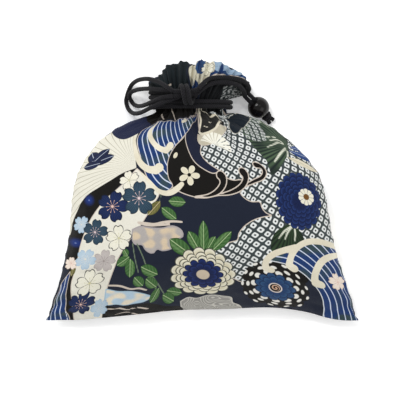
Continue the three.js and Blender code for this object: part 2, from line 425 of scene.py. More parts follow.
turns = column_turns()
across = np.cos(turns)
front = np.sin(turns) >= 0
cloth_s = np.concatenate([
    np.linspace(HALF_CLOTH, -HALF_CLOTH, COLUMNS + 1)[:-1],
    np.linspace(-HALF_CLOTH, HALF_CLOTH, COLUMNS + 1)[:-1],
])


def body_rows():
    """The filled body from the hem to the neck."""
    hem = through(HEM, across * HEM[-1][0])[:, 0]
    rows = []
    for y in (*HEM_ROWS, *np.linspace(BODY_START, NECK_BOTTOM, BODY_ROWS)):
        left, right, top, bottom, side = through(BODY, y)
        lift = np.abs(np.sin(turns)) ** 0.92
        height = np.where(front, side + (top - side) * lift, side - (side - bottom) * lift)
        pulled_up = (hem - HEM[0][1]) * (1 - smoothstep(y, -95, -45))
        rows.append(np.column_stack([
            (left + right) / 2 + (right - left) / 2 * across,
            y + pulled_up,
            np.maximum(height, FLOOR_GAP),
        ]))
    return np.array(rows)


def neck_rows():
    """The gathered neck, an oval tube whose top rises where the cord climbs back to the bow."""
    tops = through(NECK_TOP, np.where(turns > math.radians(350), turns - 2 * math.pi, turns) * 180 / math.pi)
    rows = []
    for share in np.linspace(0, 1, NECK_ROWS + 1)[1:]:
        rows.append(np.column_stack([
            NECK["x"] + NECK["half_width"] * across,
            NECK_BOTTOM + (tops[:, 0] - NECK_BOTTOM) * share,
            NECK["z"] + NECK["half_height"] * np.sin(turns),
        ]))
    return np.array(rows)


def ruffle_rows(neck_edge):
    """The ruffle, which fans out from the neck to its edge."""
    edge = through(RUFFLE, across)
    height = np.where(front, edge[:, 2], edge[:, 3])
    mix = np.abs(np.sin(turns))
    from_seam = smoothstep(mix, 0, 0.35)
    height = height * from_seam + (edge[:, 2] + edge[:, 3]) / 2 * (1 - from_seam)
    rim = np.column_stack([edge[:, 0], edge[:, 1], height])
    rows = []
    for share in np.linspace(0, 1, RUFFLE_ROWS + 1)[1:]:
        spread = share ** 0.9
        row = neck_edge * (1 - spread) + rim * spread
        row[:, 2] += np.where(front, 4.0, -2.5) * math.sin(math.pi * share) * mix
        rows.append(row)
    return np.array(rows)


neck = neck_rows()
base = np.concatenate([body_rows(), neck, ruffle_rows(neck[-1])])
neck_row = len(HEM_ROWS) + BODY_ROWS
ruffle_row = neck_row + NECK_ROWS


def grid_normals(grid):
    """Unit normals that point out of the bag."""
    around = np.roll(grid, -1, axis=1) - np.roll(grid, 1, axis=1)
    along = np.gradient(grid, axis=0)
    normal = np.cross(along, around)
    return normal / np.maximum(np.linalg.norm(normal, axis=2, keepdims=True), 1e-9)


steps = np.linalg.norm(np.diff(base, axis=0), axis=2)
cloth_t = np.concatenate([[0], np.cumsum(steps[:, front].mean(axis=1))])


def bag_mesh(grid):
    """The closed cloth: the outside, the turned-in edge, and the ruffle's inside down to the neck."""
    normal = grid_normals(grid)
    edge, edge_normal = grid[-1], normal[-1]
    outward = grid[-1] - grid[-2]
    outward /= np.linalg.norm(outward, axis=1)[:, None]
    turned_in = (edge + outward * 0.45 - edge_normal * 0.5)[None]
    inside = slice(None, ruffle_row - 6, -2)
    points = np.concatenate([grid, turned_in, grid[inside] - normal[inside] * INSIDE_GAP])
    source = np.concatenate([np.arange(len(grid)), [len(grid) - 1], np.arange(len(grid))[inside]])
    rows, columns = points.shape[:2]
    index = np.arange(rows * columns).reshape(rows, columns)
    turned = np.roll(index, -1, axis=1)
    faces = np.stack([index[:-1], index[1:], turned[1:], turned[:-1]], axis=-1).reshape(-1, 4).tolist()
    mate = -np.arange(columns) % columns  # the column straight behind, on the other panel
    faces += [(int(index[0, b]), int(index[0, a]), int(index[0, mate[a]]), int(index[0, mate[b]]))
              for a, b in zip(range(1, COLUMNS - 1), range(2, COLUMNS))]
    faces += [(int(index[0, 1]), int(index[0, 0]), int(index[0, -1])),
              (int(index[0, COLUMNS]), int(index[0, COLUMNS - 1]), int(index[0, COLUMNS + 1]))]
    middle = rows * columns
    faces += [(middle, int(b), int(a)) for a, b in zip(index[-1], turned[-1])]
    vertices = np.vstack([points.reshape(-1, 3), points[-1].mean(axis=0)])
    return vertices, faces, source


# Folds that run down from the neck: seen places, depth and width. The back panel has its own.
FRONT_FOLDS = [
    ([(-34, 60), (-42, 53), (-55, 45), (-69, 36)], 3.8, 4.0),
    ([(-30, 61), (-36, 52), (-45, 42), (-51, 30)], 3.6, 3.2),
    ([(-25, 61), (-27, 53), (-30, 46)], 3.4, 2.2),
    ([(-20, 61), (-20, 53), (-22, 44), (-25, 33)], 3.2, 2.6),
    ([(-14.5, 61), (-14.5, 55), (-16, 48)], 3.0, 2.0),
    ([(-10.5, 61), (-11, 52), (-13, 42), (-15, 32)], 3.0, 2.4),
    ([(-5.5, 62), (-5, 52), (-3, 41), (0, 29), (4, 16)], 5.6, 3.4),
    ([(-0.5, 61), (1, 54), (3, 48)], 3.0, 2.0),
    ([(5, 61), (6.5, 53), (10, 45), (13, 36)], 3.6, 2.6),
    ([(11.5, 61), (15, 52), (21, 42), (28, 31), (35, 21)], 5.0, 3.4),
    ([(15.5, 60), (21, 52), (31, 43)], 3.2, 2.6),
    ([(18, 59), (27, 51), (39, 43), (51, 34)], 4.2, 3.4),
]
BACK_FOLDS = [
    ([(-33, 60), (-45, 52), (-60, 42)], 3.0, 3.6), ([(-28, 60), (-36, 48), (-44, 34)], 4.0, 3.2),
    ([(-21, 60), (-24, 50), (-26, 42)], 3.2, 2.4), ([(-14, 60), (-16, 46), (-20, 28), (-22, 16)], 5.0, 3.4),
    ([(-7, 60), (-7, 52), (-8, 44)], 3.0, 2.4), ([(-1, 60), (1, 48), (4, 34), (5, 24)], 4.4, 3.0),
    ([(6, 60), (9, 52), (14, 45)], 3.2, 2.4), ([(12, 60), (19, 48), (29, 33)], 4.4, 3.2),
    ([(17, 60), (29, 50), (46, 38)], 3.4, 3.4),
]
CREASES = [  # long soft creases that run in from the corners: start and end in cloth, depth, width
    ((-112, 4), (-84, 34), 2.0, 5.0), ((-110, 10), (-92, 62), 1.5, 5.5), ((-96, 2), (-60, 20), 1.4, 5.0),
    ((112, 4), (86, 30), 2.0, 5.0), ((110, 10), (95, 58), 1.6, 5.5), ((98, 2), (64, 18), 1.4, 5.0),
]


def unevenness(s, t, length, seed):
    """Smooth seeded waves over the cloth, mostly between -1 and 1."""
    draw = np.random.default_rng(seed)
    total = np.zeros(np.broadcast(s, t).shape)
    for _ in range(8):
        heading, phase = draw.uniform(0, 2 * math.pi, 2)
        size = length * draw.uniform(0.7, 1.5)
        total += np.sin(2 * math.pi / size * (s * math.cos(heading) + t * math.sin(heading)) + phase)
    return total / 2.8


def fold_depth(grid, folds):
    """Grooves along lines seen from above, deepest at the neck."""
    depth = np.zeros(grid.shape[:2])
    for places, deep, width in folds:
        line = smooth_line(places, 1.5)
        least = np.full(depth.shape, 99.0)
        along = np.zeros(depth.shape)
        for number, place in enumerate(line):
            far = np.hypot(grid[..., 0] - place[0], grid[..., 1] - place[1])
            along = np.where(far < least, number / (len(line) - 1), along)
            least = np.minimum(least, far)
        spread = width * (0.6 + 0.9 * along)
        depth -= deep * (1 - smoothstep(along, 0.2, 1)) * np.exp(-(least / spread) ** 1.5)
    return depth


def crease_depth(s, t):
    depth = np.zeros(np.broadcast(s, t).shape)
    for start, end, deep, width in CREASES:
        start, end = np.array(start, float), np.array(end, float)
        run = end - start
        length = np.linalg.norm(run)
        run /= length
        ahead = ((s - start[0]) * run[0] + (t - start[1]) * run[1]) / length
        aside = (s - start[0]) * run[1] - (t - start[1]) * run[0]
        groove = deep * np.exp(-(aside / width) ** 2)
        depth -= groove * smoothstep(ahead, -0.1, 0.2) * (1 - smoothstep(ahead, 0.5, 1.1))
    return depth


def wrinkle(grid):
    """The cloth with its gathers, puckered seams and creases, each moved along its normal."""
    s, t = np.meshgrid(cloth_s, cloth_t)
    below_neck = np.maximum(cloth_t[neck_row] - t, 0)
    beside_seam = HALF_CLOTH - np.abs(s)
    rise = np.where(front[None, :], fold_depth(grid, FRONT_FOLDS), fold_depth(grid, BACK_FOLDS))
    rise *= 1 - smoothstep(t, cloth_t[neck_row] - 1, cloth_t[neck_row] + 4)
    near_neck = np.exp(-below_neck / 9)
    rise += 0.8 * np.sin(2 * math.pi * s / 9.5 + 1.2 * np.sin(s / 13)) * near_neck - 0.8 * near_neck
    body = 1 - smoothstep(t, cloth_t[neck_row] - 25, cloth_t[neck_row] - 4)
    side = np.where(front[None, :], 1, -1)
    slack = body * 0.9 * unevenness(s * side, t, 46, 3)
    rise += slack * smoothstep(beside_seam, 0, 20) * smoothstep(t, 0, 20)
    pucker = np.sin(2 * math.pi * t / 12 + 1.2 * np.sin(t / 9)) * np.exp(-beside_seam / 6)
    rise += 0.8 * pucker * body * smoothstep(beside_seam, 0, 2.5)
    hem = np.sin(2 * math.pi * s / 14 + 1.5 * np.sin(s / 11)) * np.exp(-t / 8)
    rise += 0.9 * hem * smoothstep(t, 0, 3)
    rise += crease_depth(s, t) * np.where(front[None, :], 1, 0.5)
    out = grid + grid_normals(grid) * rise[..., None]
    on_floor = grid[..., 2] < 0.5
    out[..., 2] = np.where(on_floor, grid[..., 2], np.maximum(out[..., 2], 0.3))
    return out


def frill(grid):
    """The ruffle's lobes: deep waves along its edge that die out at the neck."""
    s, _ = np.meshgrid(cloth_s, cloth_t)
    share = np.zeros(len(grid))
    share[ruffle_row:] = np.linspace(0, 1, RUFFLE_ROWS + 1)[1:]
    share = share[:, None]
    side = np.where(front, 1.0, -1.0)[None, :]
    lobes = 2 * np.abs(np.sin(math.pi * s / 33 + 0.6 * np.sin(s / 21) + 0.5 * side)) ** 0.7 - 1.3
    small = np.sin(2 * math.pi * s / 17 + 1.3 * np.sin(s / 13) - 0.5 * side)
    tight = np.sin(2 * math.pi * s / 9.3 + 1.1 * np.sin(s / 8))
    mix = np.abs(np.sin(turns))[None, :]
    rise = share**0.8 * (3.8 * lobes + 0.9 * small) * (0.3 + 0.7 * mix)
    rise += (1 - share) * share**0.4 * 1.7 * tight
    out = grid + grid_normals(grid) * rise[..., None] * np.array([0.08, 0.08, 1.0])
    outward = np.zeros_like(grid)
    outward[ruffle_row:, :, :2] = grid[ruffle_row:, :, :2] - np.array([NECK["x"], 64.0])
    outward /= np.maximum(np.linalg.norm(outward, axis=2, keepdims=True), 1e-9)
    out += outward * (share**1.5 * (1.1 * lobes - 0.6))[..., None]
    out[ruffle_row:, :, 2] = np.maximum(out[ruffle_row:, :, 2], 0.6)
    return out


MOST_SETTLING = 4.5  # how far the simulation may move a point
SIDEWAYS_SETTLING = 0.2  # the share of its sideways moves that is kept
COARSE_ROWS = 62
COARSE_STEP = 4  # columns


def settle(grid):
    """A short cloth simulation that fills a coarse copy, whose creases are carried to the fine cloth."""
    rows = np.unique(np.round(np.linspace(0, neck_row + 3, COARSE_ROWS)).astype(int))
    columns = np.arange(0, 2 * COLUMNS, COARSE_STEP)
    coarse = grid[np.ix_(rows, columns)]
    count, around = coarse.shape[:2]
    index = np.arange(count * around).reshape(count, around)
    turned = np.roll(index, -1, axis=1)
    faces = np.stack([index[:-1], index[1:], turned[1:], turned[:-1]], axis=-1).reshape(-1, 4).tolist()
    cloth = mesh_object("settling_cloth", mm(coarse.reshape(-1, 3)), faces)
    hold = cloth.vertex_groups.new(name="hold")
    hold.add(index[-4:].ravel().tolist(), 1.0, "REPLACE")
    hold.add(index[0].ravel().tolist(), 0.9, "REPLACE")
    looseness = cloth.modifiers.new("filling", "CLOTH").settings
    looseness.quality = 5
    looseness.mass = 0.15
    looseness.tension_stiffness = looseness.compression_stiffness = 12
    looseness.shear_stiffness = 4
    looseness.bending_stiffness = 0.25
    looseness.use_pressure = True
    looseness.uniform_pressure_force = 2.0
    looseness.vertex_group_mass = "hold"
    looseness.pin_stiffness = 1
    looseness.shrink_min = -0.03
    looseness.effector_weights.gravity = 0
    scene = bpy.context.scene
    for number in range(1, 21):
        scene.frame_set(number)
    shape = cloth.evaluated_get(bpy.context.evaluated_depsgraph_get()).to_mesh()
    moved = np.empty(len(shape.vertices) * 3)
    shape.vertices.foreach_get("co", moved)
    scene.frame_set(1)
    bpy.data.meshes.remove(cloth.data)
    shift = moved.reshape(count, around, 3) / MM - coarse
    far = np.linalg.norm(shift, axis=2, keepdims=True)
    shift *= np.minimum(1, MOST_SETTLING / np.maximum(far, 1e-9))
    shift[-3:] = 0
    shift[..., :2] *= SIDEWAYS_SETTLING
    beside_seam = HALF_CLOTH - np.abs(cloth_s[columns])
    shift *= (smoothstep(beside_seam, 0, 14)[None, :] * smoothstep(cloth_t[rows], 0, 16)[:, None])[..., None]
    wide = np.concatenate([shift[:, -3:], shift, shift[:, :3]], axis=1)
    at = np.concatenate([columns[-3:] - 2 * COLUMNS, columns, columns[:3] + 2 * COLUMNS])
    table = np.column_stack([at, wide.transpose(1, 0, 2).reshape(len(at), -1)])
    fine = through(table, np.arange(2 * COLUMNS)).reshape(2 * COLUMNS, count, 3).transpose(1, 0, 2)
    table = np.column_stack([rows, fine.reshape(count, -1)])
    inner = through(table, np.arange(rows[-1] + 1)).reshape(-1, 2 * COLUMNS, 3)
    out = grid.copy()
    out[:rows[-1] + 1] += inner
    out[..., 2] = np.maximum(out[..., 2], FLOOR_GAP)
    return out


CORD_CLEARANCE = 0.3


def press_cords(grid):
    """Where a cord lies on the cloth, the cloth gives way under it."""
    line = np.vstack(cord_lines)
    tree = kdtree.KDTree(len(line))
    for number, point in enumerate(line):
        tree.insert(point, number)
    tree.balance()
    room = CORD_DIAMETER / 2 + CORD_CLEARANCE
    out = grid.copy()
    low, high = line.min(axis=0) - 5, line.max(axis=0) + 5
    inside = ((grid > low) & (grid < high)).all(axis=2)
    for row, column in zip(*np.nonzero(inside)):
        point = grid[row, column]
        place, _, far = tree.find(point)
        if far < room:
            away = point - np.array(place)
            out[row, column] = np.array(place) + away / max(far, 1e-6) * room
    return out


def under_tails(grid):
    """The ruffle stays below the tails and loops that lie on it."""
    out = grid.copy()
    lying = np.vstack(cord_lines[2:])
    lying = lying[lying[:, 2] > 12]
    for row in range(ruffle_row - 3, len(grid)):
        far = np.linalg.norm(grid[row][:, None, :2] - lying[None, :, :2], axis=2)
        limit = lying[None, :, 2] - 2.0 + 0.09 * far**2 + 6 * smoothstep(far, 6, 12)
        out[row, :, 2] = np.minimum(grid[row, :, 2], limit.min(axis=1))
    return out


cloth = frill(wrinkle(base))
cloth = settle(cloth)
cloth = press_cords(under_tails(cloth))
bag_points, bag_faces, bag_rows = bag_mesh(cloth)
bag = mesh_object("pouch_cloth", mm(bag_points), bag_faces)

# ---------------------------------------------------------------- bag: where the print lies
# Places of the print are as seen from above on the front, x and y; on_cloth() finds them on the cloth.
# The back panel carries the same cloth turned upside down.

REACH = 8.0  # distances on the print are kept up to this
FAR_OFF = 9.0  # where a place has nothing to do with a motif or the slit
PAST_SEAM = 6.0  # how far outlines that end on the bag's outline run on past it, so they meet its edge

seen = VIEW_CENTRE / MM + (base[:, :COLUMNS + 1, :2] - VIEW_CENTRE / MM) * (
    (CAMERA_HEIGHT - OUTLINE_HEIGHT) / (CAMERA_HEIGHT - base[:, :COLUMNS + 1, 2:] * MM))
seen_s = cloth_s[:COLUMNS + 1]

grid_s, grid_t = np.meshgrid(cloth_s, cloth_t)
upright = np.broadcast_to(front[None, :], grid_s.shape)
printed = np.column_stack([
    np.where(upright, grid_s, -grid_s).ravel(),
    np.where(upright, grid_t, cloth_t[neck_row] - grid_t).ravel(),
])


def on_cloth(x, y):
    """A seen place on the cloth, and how much smaller than on the cloth things look there."""
    row, column = np.unravel_index(np.argmin(((seen - (x, y)) ** 2).sum(axis=2)), seen.shape[:2])
    r, c = min(max(row, 1), len(seen) - 2), min(max(column, 1), COLUMNS - 1)
    by_s = (seen[r, c + 1] - seen[r, c - 1]) / (seen_s[c + 1] - seen_s[c - 1])
    by_t = (seen[r + 1, c] - seen[r - 1, c]) / (cloth_t[r + 1] - cloth_t[r - 1])
    nudge = np.linalg.lstsq(np.column_stack([by_s, by_t]), np.array([x, y]) - seen[r, c], rcond=0.1)[0]
    place = np.array([seen_s[c], cloth_t[r]]) + np.clip(nudge, -1, 1)
    if column in (0, COLUMNS):
        place[0] = math.copysign(HALF_CLOTH + PAST_SEAM, seen_s[column])
    if row == 0:
        place[1] = -5.0
    return place, np.clip([np.linalg.norm(by_s), np.linalg.norm(by_t)], 0.35, 1.3)


def drawn(points, closed=False):
    """A smooth line on the cloth through seen places, which may carry a half width."""
    line = [[*on_cloth(x, y)[0], *more] for x, y, *more in points]
    return smooth_line(line + line[:1] if closed else line, 2.0)


def away_from(line, closed=False, reach=REACH):
    """Every place's distance to a line; below 0 inside it if it's closed, or within its half width."""
    low, high = line[:, :2].min(axis=0) - reach, line[:, :2].max(axis=0) + reach
    near = ((printed > low) & (printed < high)).all(axis=1)
    x, y = printed[near].T
    least = np.full(len(x), reach)
    inside = np.zeros(len(x), bool)
    half = line[:, 2] if line.shape[1] > 2 else np.zeros(len(line))
    for (x0, y0), (x1, y1), h0, h1 in zip(line[:, :2], line[1:, :2], half, half[1:]):
        dx, dy = x1 - x0, y1 - y0
        share = np.clip(((x - x0) * dx + (y - y0) * dy) / (dx * dx + dy * dy + 1e-9), 0, 1)
        least = np.minimum(least, np.hypot(x - x0 - share * dx, y - y0 - share * dy) - h0 - share * (h1 - h0))
        if closed and y0 != y1:
            inside ^= ((y0 > y) != (y1 > y)) & (x < x0 + (y - y0) / (y1 - y0) * dx)
    out = np.full(len(printed), reach)
    out[near] = np.where(inside, -least, least)
    return out


def area(points):
    return away_from(drawn(points, closed=True), closed=True)


def bands(*lines):
    """Tapered strokes through seen places with half widths, together."""
    return np.minimum.reduce([away_from(drawn(line)) for line in lines])


def motifs(places):
    """Every place's two coordinates in the nearest motif, its tint, and how far from its middle it lies."""
    out = np.full((len(printed), 4), FAR_OFF)
    for x, y, wide, high, turn, tint in places:
        centre, shrink = on_cloth(x, y)
        offset = (printed - centre) * shrink
        c, s = math.cos(math.radians(turn)), math.sin(math.radians(turn))
        u, v = (offset[:, 0] * c + offset[:, 1] * s) / wide, (offset[:, 1] * c - offset[:, 0] * s) / high
        far = np.hypot(u, v)
        nearer = far < out[:, 3]
        out[nearer] = np.column_stack([u, v, np.full(len(u), tint), far])[nearer]
    return out


def leaves(places):
    """Leaves from the stem to the tip, each with a half width and a tint."""
    middles = []
    for x0, y0, x1, y1, half, tint in places:
        turn = math.degrees(math.atan2(y1 - y0, x1 - x0))
        middles.append(((x0 + x1) / 2, (y0 + y1) / 2, math.hypot(x1 - x0, y1 - y0) / 2, half, turn, tint))
    return motifs(middles)


FAN_TIP = (-47.8, 16.6)
# The print's fields, each by its outline. Those that begin with mouth lie on the ruffle.
OUTLINES = {
    "fan": [FAN_TIP, (-48.8, 26), (-49.2, 35), (-47.8, 41), (-44, 50), (-50, 53), (-58, 49), (-70, 41),
        (-84, 28), (-92, 14), (-96, 0), (-98, -14), (-98, -32), (-95, -30), (-93.4, -22.5), (-91.6, -17),
        (-89.7, -12.3), (-87, -8.6), (-82.3, -3), (-75.8, 1.7), (-66.4, 7.3), (-58, 12.4)],
    "shoulder": [(-66, 45), (-56, 38), (-47, 43), (-40, 50), (-36, 57), (-44, 58), (-56, 53)],
    "dark_ribbon": [FAN_TIP, (-58, 12.6), (-66.4, 7.6), (-76, 2), (-83, -2.4), (-88, -8), (-92, -15),
        (-95, -24), (-97, -34), (-99, -46), (-99, -56), (-92, -56), (-89, -45), (-87, -36), (-85, -27),
        (-80, -19), (-74, -10), (-67, -3), (-57, 7)],
    "blossom_ribbon": [(-47.5, 16.2), (-55.4, 7), (-62.7, 0.4), (-70, -6.2), (-76, -13.4), (-81.4, -21),
        (-85.4, -29.4), (-88.4, -39), (-90.3, -48), (-92.5, -57), (-95, -66), (-95.6, -76), (-94.6, -86),
        (-91, -97), (-71, -97), (-70.8, -84), (-70.2, -73), (-68.3, -67), (-62.7, -52.3), (-57.1, -42),
        (-51.5, -33.7), (-45, -25.3), (-40.4, -18), (-34.8, -8.6), (-31.5, -3), (-31.5, 0), (-38.5, 5.4),
        (-43.2, 12)],
    "corner_dark": [(-97, -50), (-91, -52), (-92, -64), (-94, -76), (-93, -87), (-89, -97), (-99, -97),
        (-102, -84), (-101, -74), (-99, -64)],
    "corner_wave": [(-96.5, -58), (-98, -66), (-99.5, -76), (-100, -86), (-98, -97), (-118, -97),
        (-110, -82), (-104, -68)],
    "high_wave": [(-37, 51.5), (-29, 52), (-20, 52.5), (-11.4, 55), (-4, 59), (-6.5, 53), (-9, 47),
        (-12.5, 42), (-16, 37), (-20, 32), (-24, 25), (-25.5, 17), (-24.5, 9), (-21.5, 3.5), (-28, -1),
        (-33, 1.5), (-38.5, 7.2), (-41.5, 13), (-44, 21), (-46.8, 30.5), (-47.5, 38.9), (-43.5, 46.5)],
    "low_wave": [(46.6, -50), (52, -46.6), (60, -43.5), (66, -41), (75.5, -37), (84, -36.6), (92, -40),
        (98, -44), (104, -56), (118, -97), (96, -97), (89, -97), (88.5, -86), (86.7, -76.5), (82, -69),
        (76.4, -62.6), (69, -57), (61, -53)],
    "night": [(-11.5, 46), (-12.5, 39), (-10.6, 30.5), (-7, 23), (-0.5, 16.6), (8, 12.4), (13, 14),
        (17, 9.6), (22.4, 7.6), (28, 8), (32, 6), (27, 1), (18, -2.5), (10, -3.8), (2, -5.3), (-6, -4.4),
        (-16, -1), (-22, 3), (-25.3, 9), (-25.8, 17), (-24.5, 24), (-20, 32), (-14, 39)],
    "dusk": [(-5.5, 57), (-9.5, 47), (-12.3, 40), (-10.6, 30.5), (-7, 23), (-0.5, 16.6), (8, 12.4),
        (12, 14.5), (7.5, 17.5), (2, 22), (-1.5, 28), (-1.2, 34), (-3, 44), (-2.5, 58)],
    "dusk_shoulder": [(16.6, 58), (20, 48.6), (23, 43.6), (25.6, 42.6), (29, 46.6), (32.8, 50.4), (34, 56),
        (28, 61)],
    "tan_fold": [(-3.4, 44.5), (-0.6, 42), (4, 41.6), (9, 44.4), (12.6, 49), (17.6, 50), (16.4, 43.7),
        (12, 38.1), (6, 34.2), (0.6, 34), (-3, 37)],
    # Partly the print's dark, partly painted shade where the neck's wraps and gathers shade the cloth.
    "neck_dark_and_shade": [(-41, 58), (-36, 51.6), (-29, 53), (-20, 53.6), (-12, 56), (-5, 60), (-8, 64), (-30, 64),
        (-40, 62)],
    "fold_night": [(-3, 64), (-3.4, 44), (0, 40), (8, 41), (14, 47), (16.4, 52), (12, 57), (8, 57.6),
        (3, 61), (1, 65)],
    "kanoko": [(-1.2, 32.5), (-1.3, 27.7), (2, 22.2), (7.5, 17.5), (12.4, 14.4), (17, 9.6), (22.4, 7),
        (28, 5), (27, -0.5), (30, -4.8), (35.5, -7.8), (42, -8.1), (43, -12), (46, -16), (50.4, -18),
        (44, -18.9), (36.4, -21.6), (30, -26.3), (26.4, -31.5), (25.6, -35.8), (19.6, -37.4), (13, -40.2),
        (8.5, -44), (6, -52), (13, -62.6), (22.4, -64.4), (29, -67.4), (40, -66), (60, -60), (80, -60),
        (98, -60), (98, -30), (96, 0), (90, 20), (78, 33), (62, 44), (52, 52), (40, 58), (24, 62), (6, 64),
        (0, 58), (0, 40)],
    "pine": [(62, 33), (60, 41), (53, 48), (46, 54), (38, 59), (30, 54), (28, 44), (33, 37.5), (38, 31.5),
        (42, 27), (46.4, 22.4), (48.6, 16), (50, 11.5), (54, 13.6), (57, 18), (61, 25)],
    "tied_pine": [(27, 42), (29, 49), (33, 55), (41, 54), (42, 49), (45, 44), (47.6, 39.4), (44.6, 36),
        (37, 36.6), (31, 39.6)],
    "side_leaf": [(61.4, -24), (68, -27), (73, -33), (73.5, -39), (67, -40), (58, -43.4), (51, -45),
        (49.6, -37), (53, -29.5)],
    "low_dark": [(32, -66), (44, -58), (48, -52), (60, -53), (70, -57.5), (77, -63.5), (74, -68), (60, -74),
        (40, -76), (30, -72)],
    "grey_cloud": [(-16, -81), (-14, -86.5), (-6, -89), (6, -89), (16, -88.6), (28, -88), (27, -84),
        (22, -82.5), (21, -79), (14, -77.4), (4, -76.6), (-4, -79), (-10, -78)],
    "blush_cloud": [(-50.6, -28.1), (-45, -25.8), (-38.5, -26.8), (-29.2, -27.2), (-21.8, -25.6),
        (-15.4, -28.6), (-14.3, -33), (-21, -36.5), (-22, -41.5), (-29.2, -43.5), (-33, -42), (-36, -45.2),
        (-41.3, -42.6), (-43.4, -39), (-49, -38.5), (-51, -34)],
    "sky_cloud": [(-70.6, -72.6), (-62.7, -73.9), (-53.4, -73.3), (-46, -74.2), (-37.6, -77.5), (-43, -81),
        (-50, -82), (-57, -83.7), (-63, -82.6), (-70.2, -84)],
    "low_night": [(-71, -84), (-60, -85), (-52, -83.4), (-40, -82.4), (-30, -84), (-16, -84.6), (-15, -97),
        (-71, -97)],
    "mouth_dark": [(-9, 99), (-12, 86), (-9.6, 76), (-10, 67), (-30, 65), (-44, 70), (-44, 86), (-28, 96),
        (-20, 99)],
    "mouth_dusk": [(1, 80), (14, 83.6), (26, 82.8), (38, 79), (38, 66), (18, 62), (-2, 65)],
    "mouth_dots": [(16, 76), (27, 75), (31, 69), (22, 64), (13, 67)],
    "mouth_blue": [(-7, 99), (-9.6, 88), (-8, 77), (-4, 74), (2, 79), (14, 84.4), (27, 83.4), (33, 80),
        (36, 90), (20, 99)],
    "mouth_cream": [(-7.4, 99), (-9.8, 91), (-9.6, 84), (-7.2, 76), (-5.6, 81), (-1.4, 76.6), (4, 80),
        (6, 86.4), (9, 88), (9, 94), (3, 96), (1.4, 88), (-0.6, 86), (-3.6, 86), (-5.2, 91), (-4.2, 99)],
    "mouth_sky": [(9.6, 99), (9, 89.6), (12, 86.8), (17, 88.4), (22, 85.6), (28, 84.6), (33, 88), (18, 99)],
}
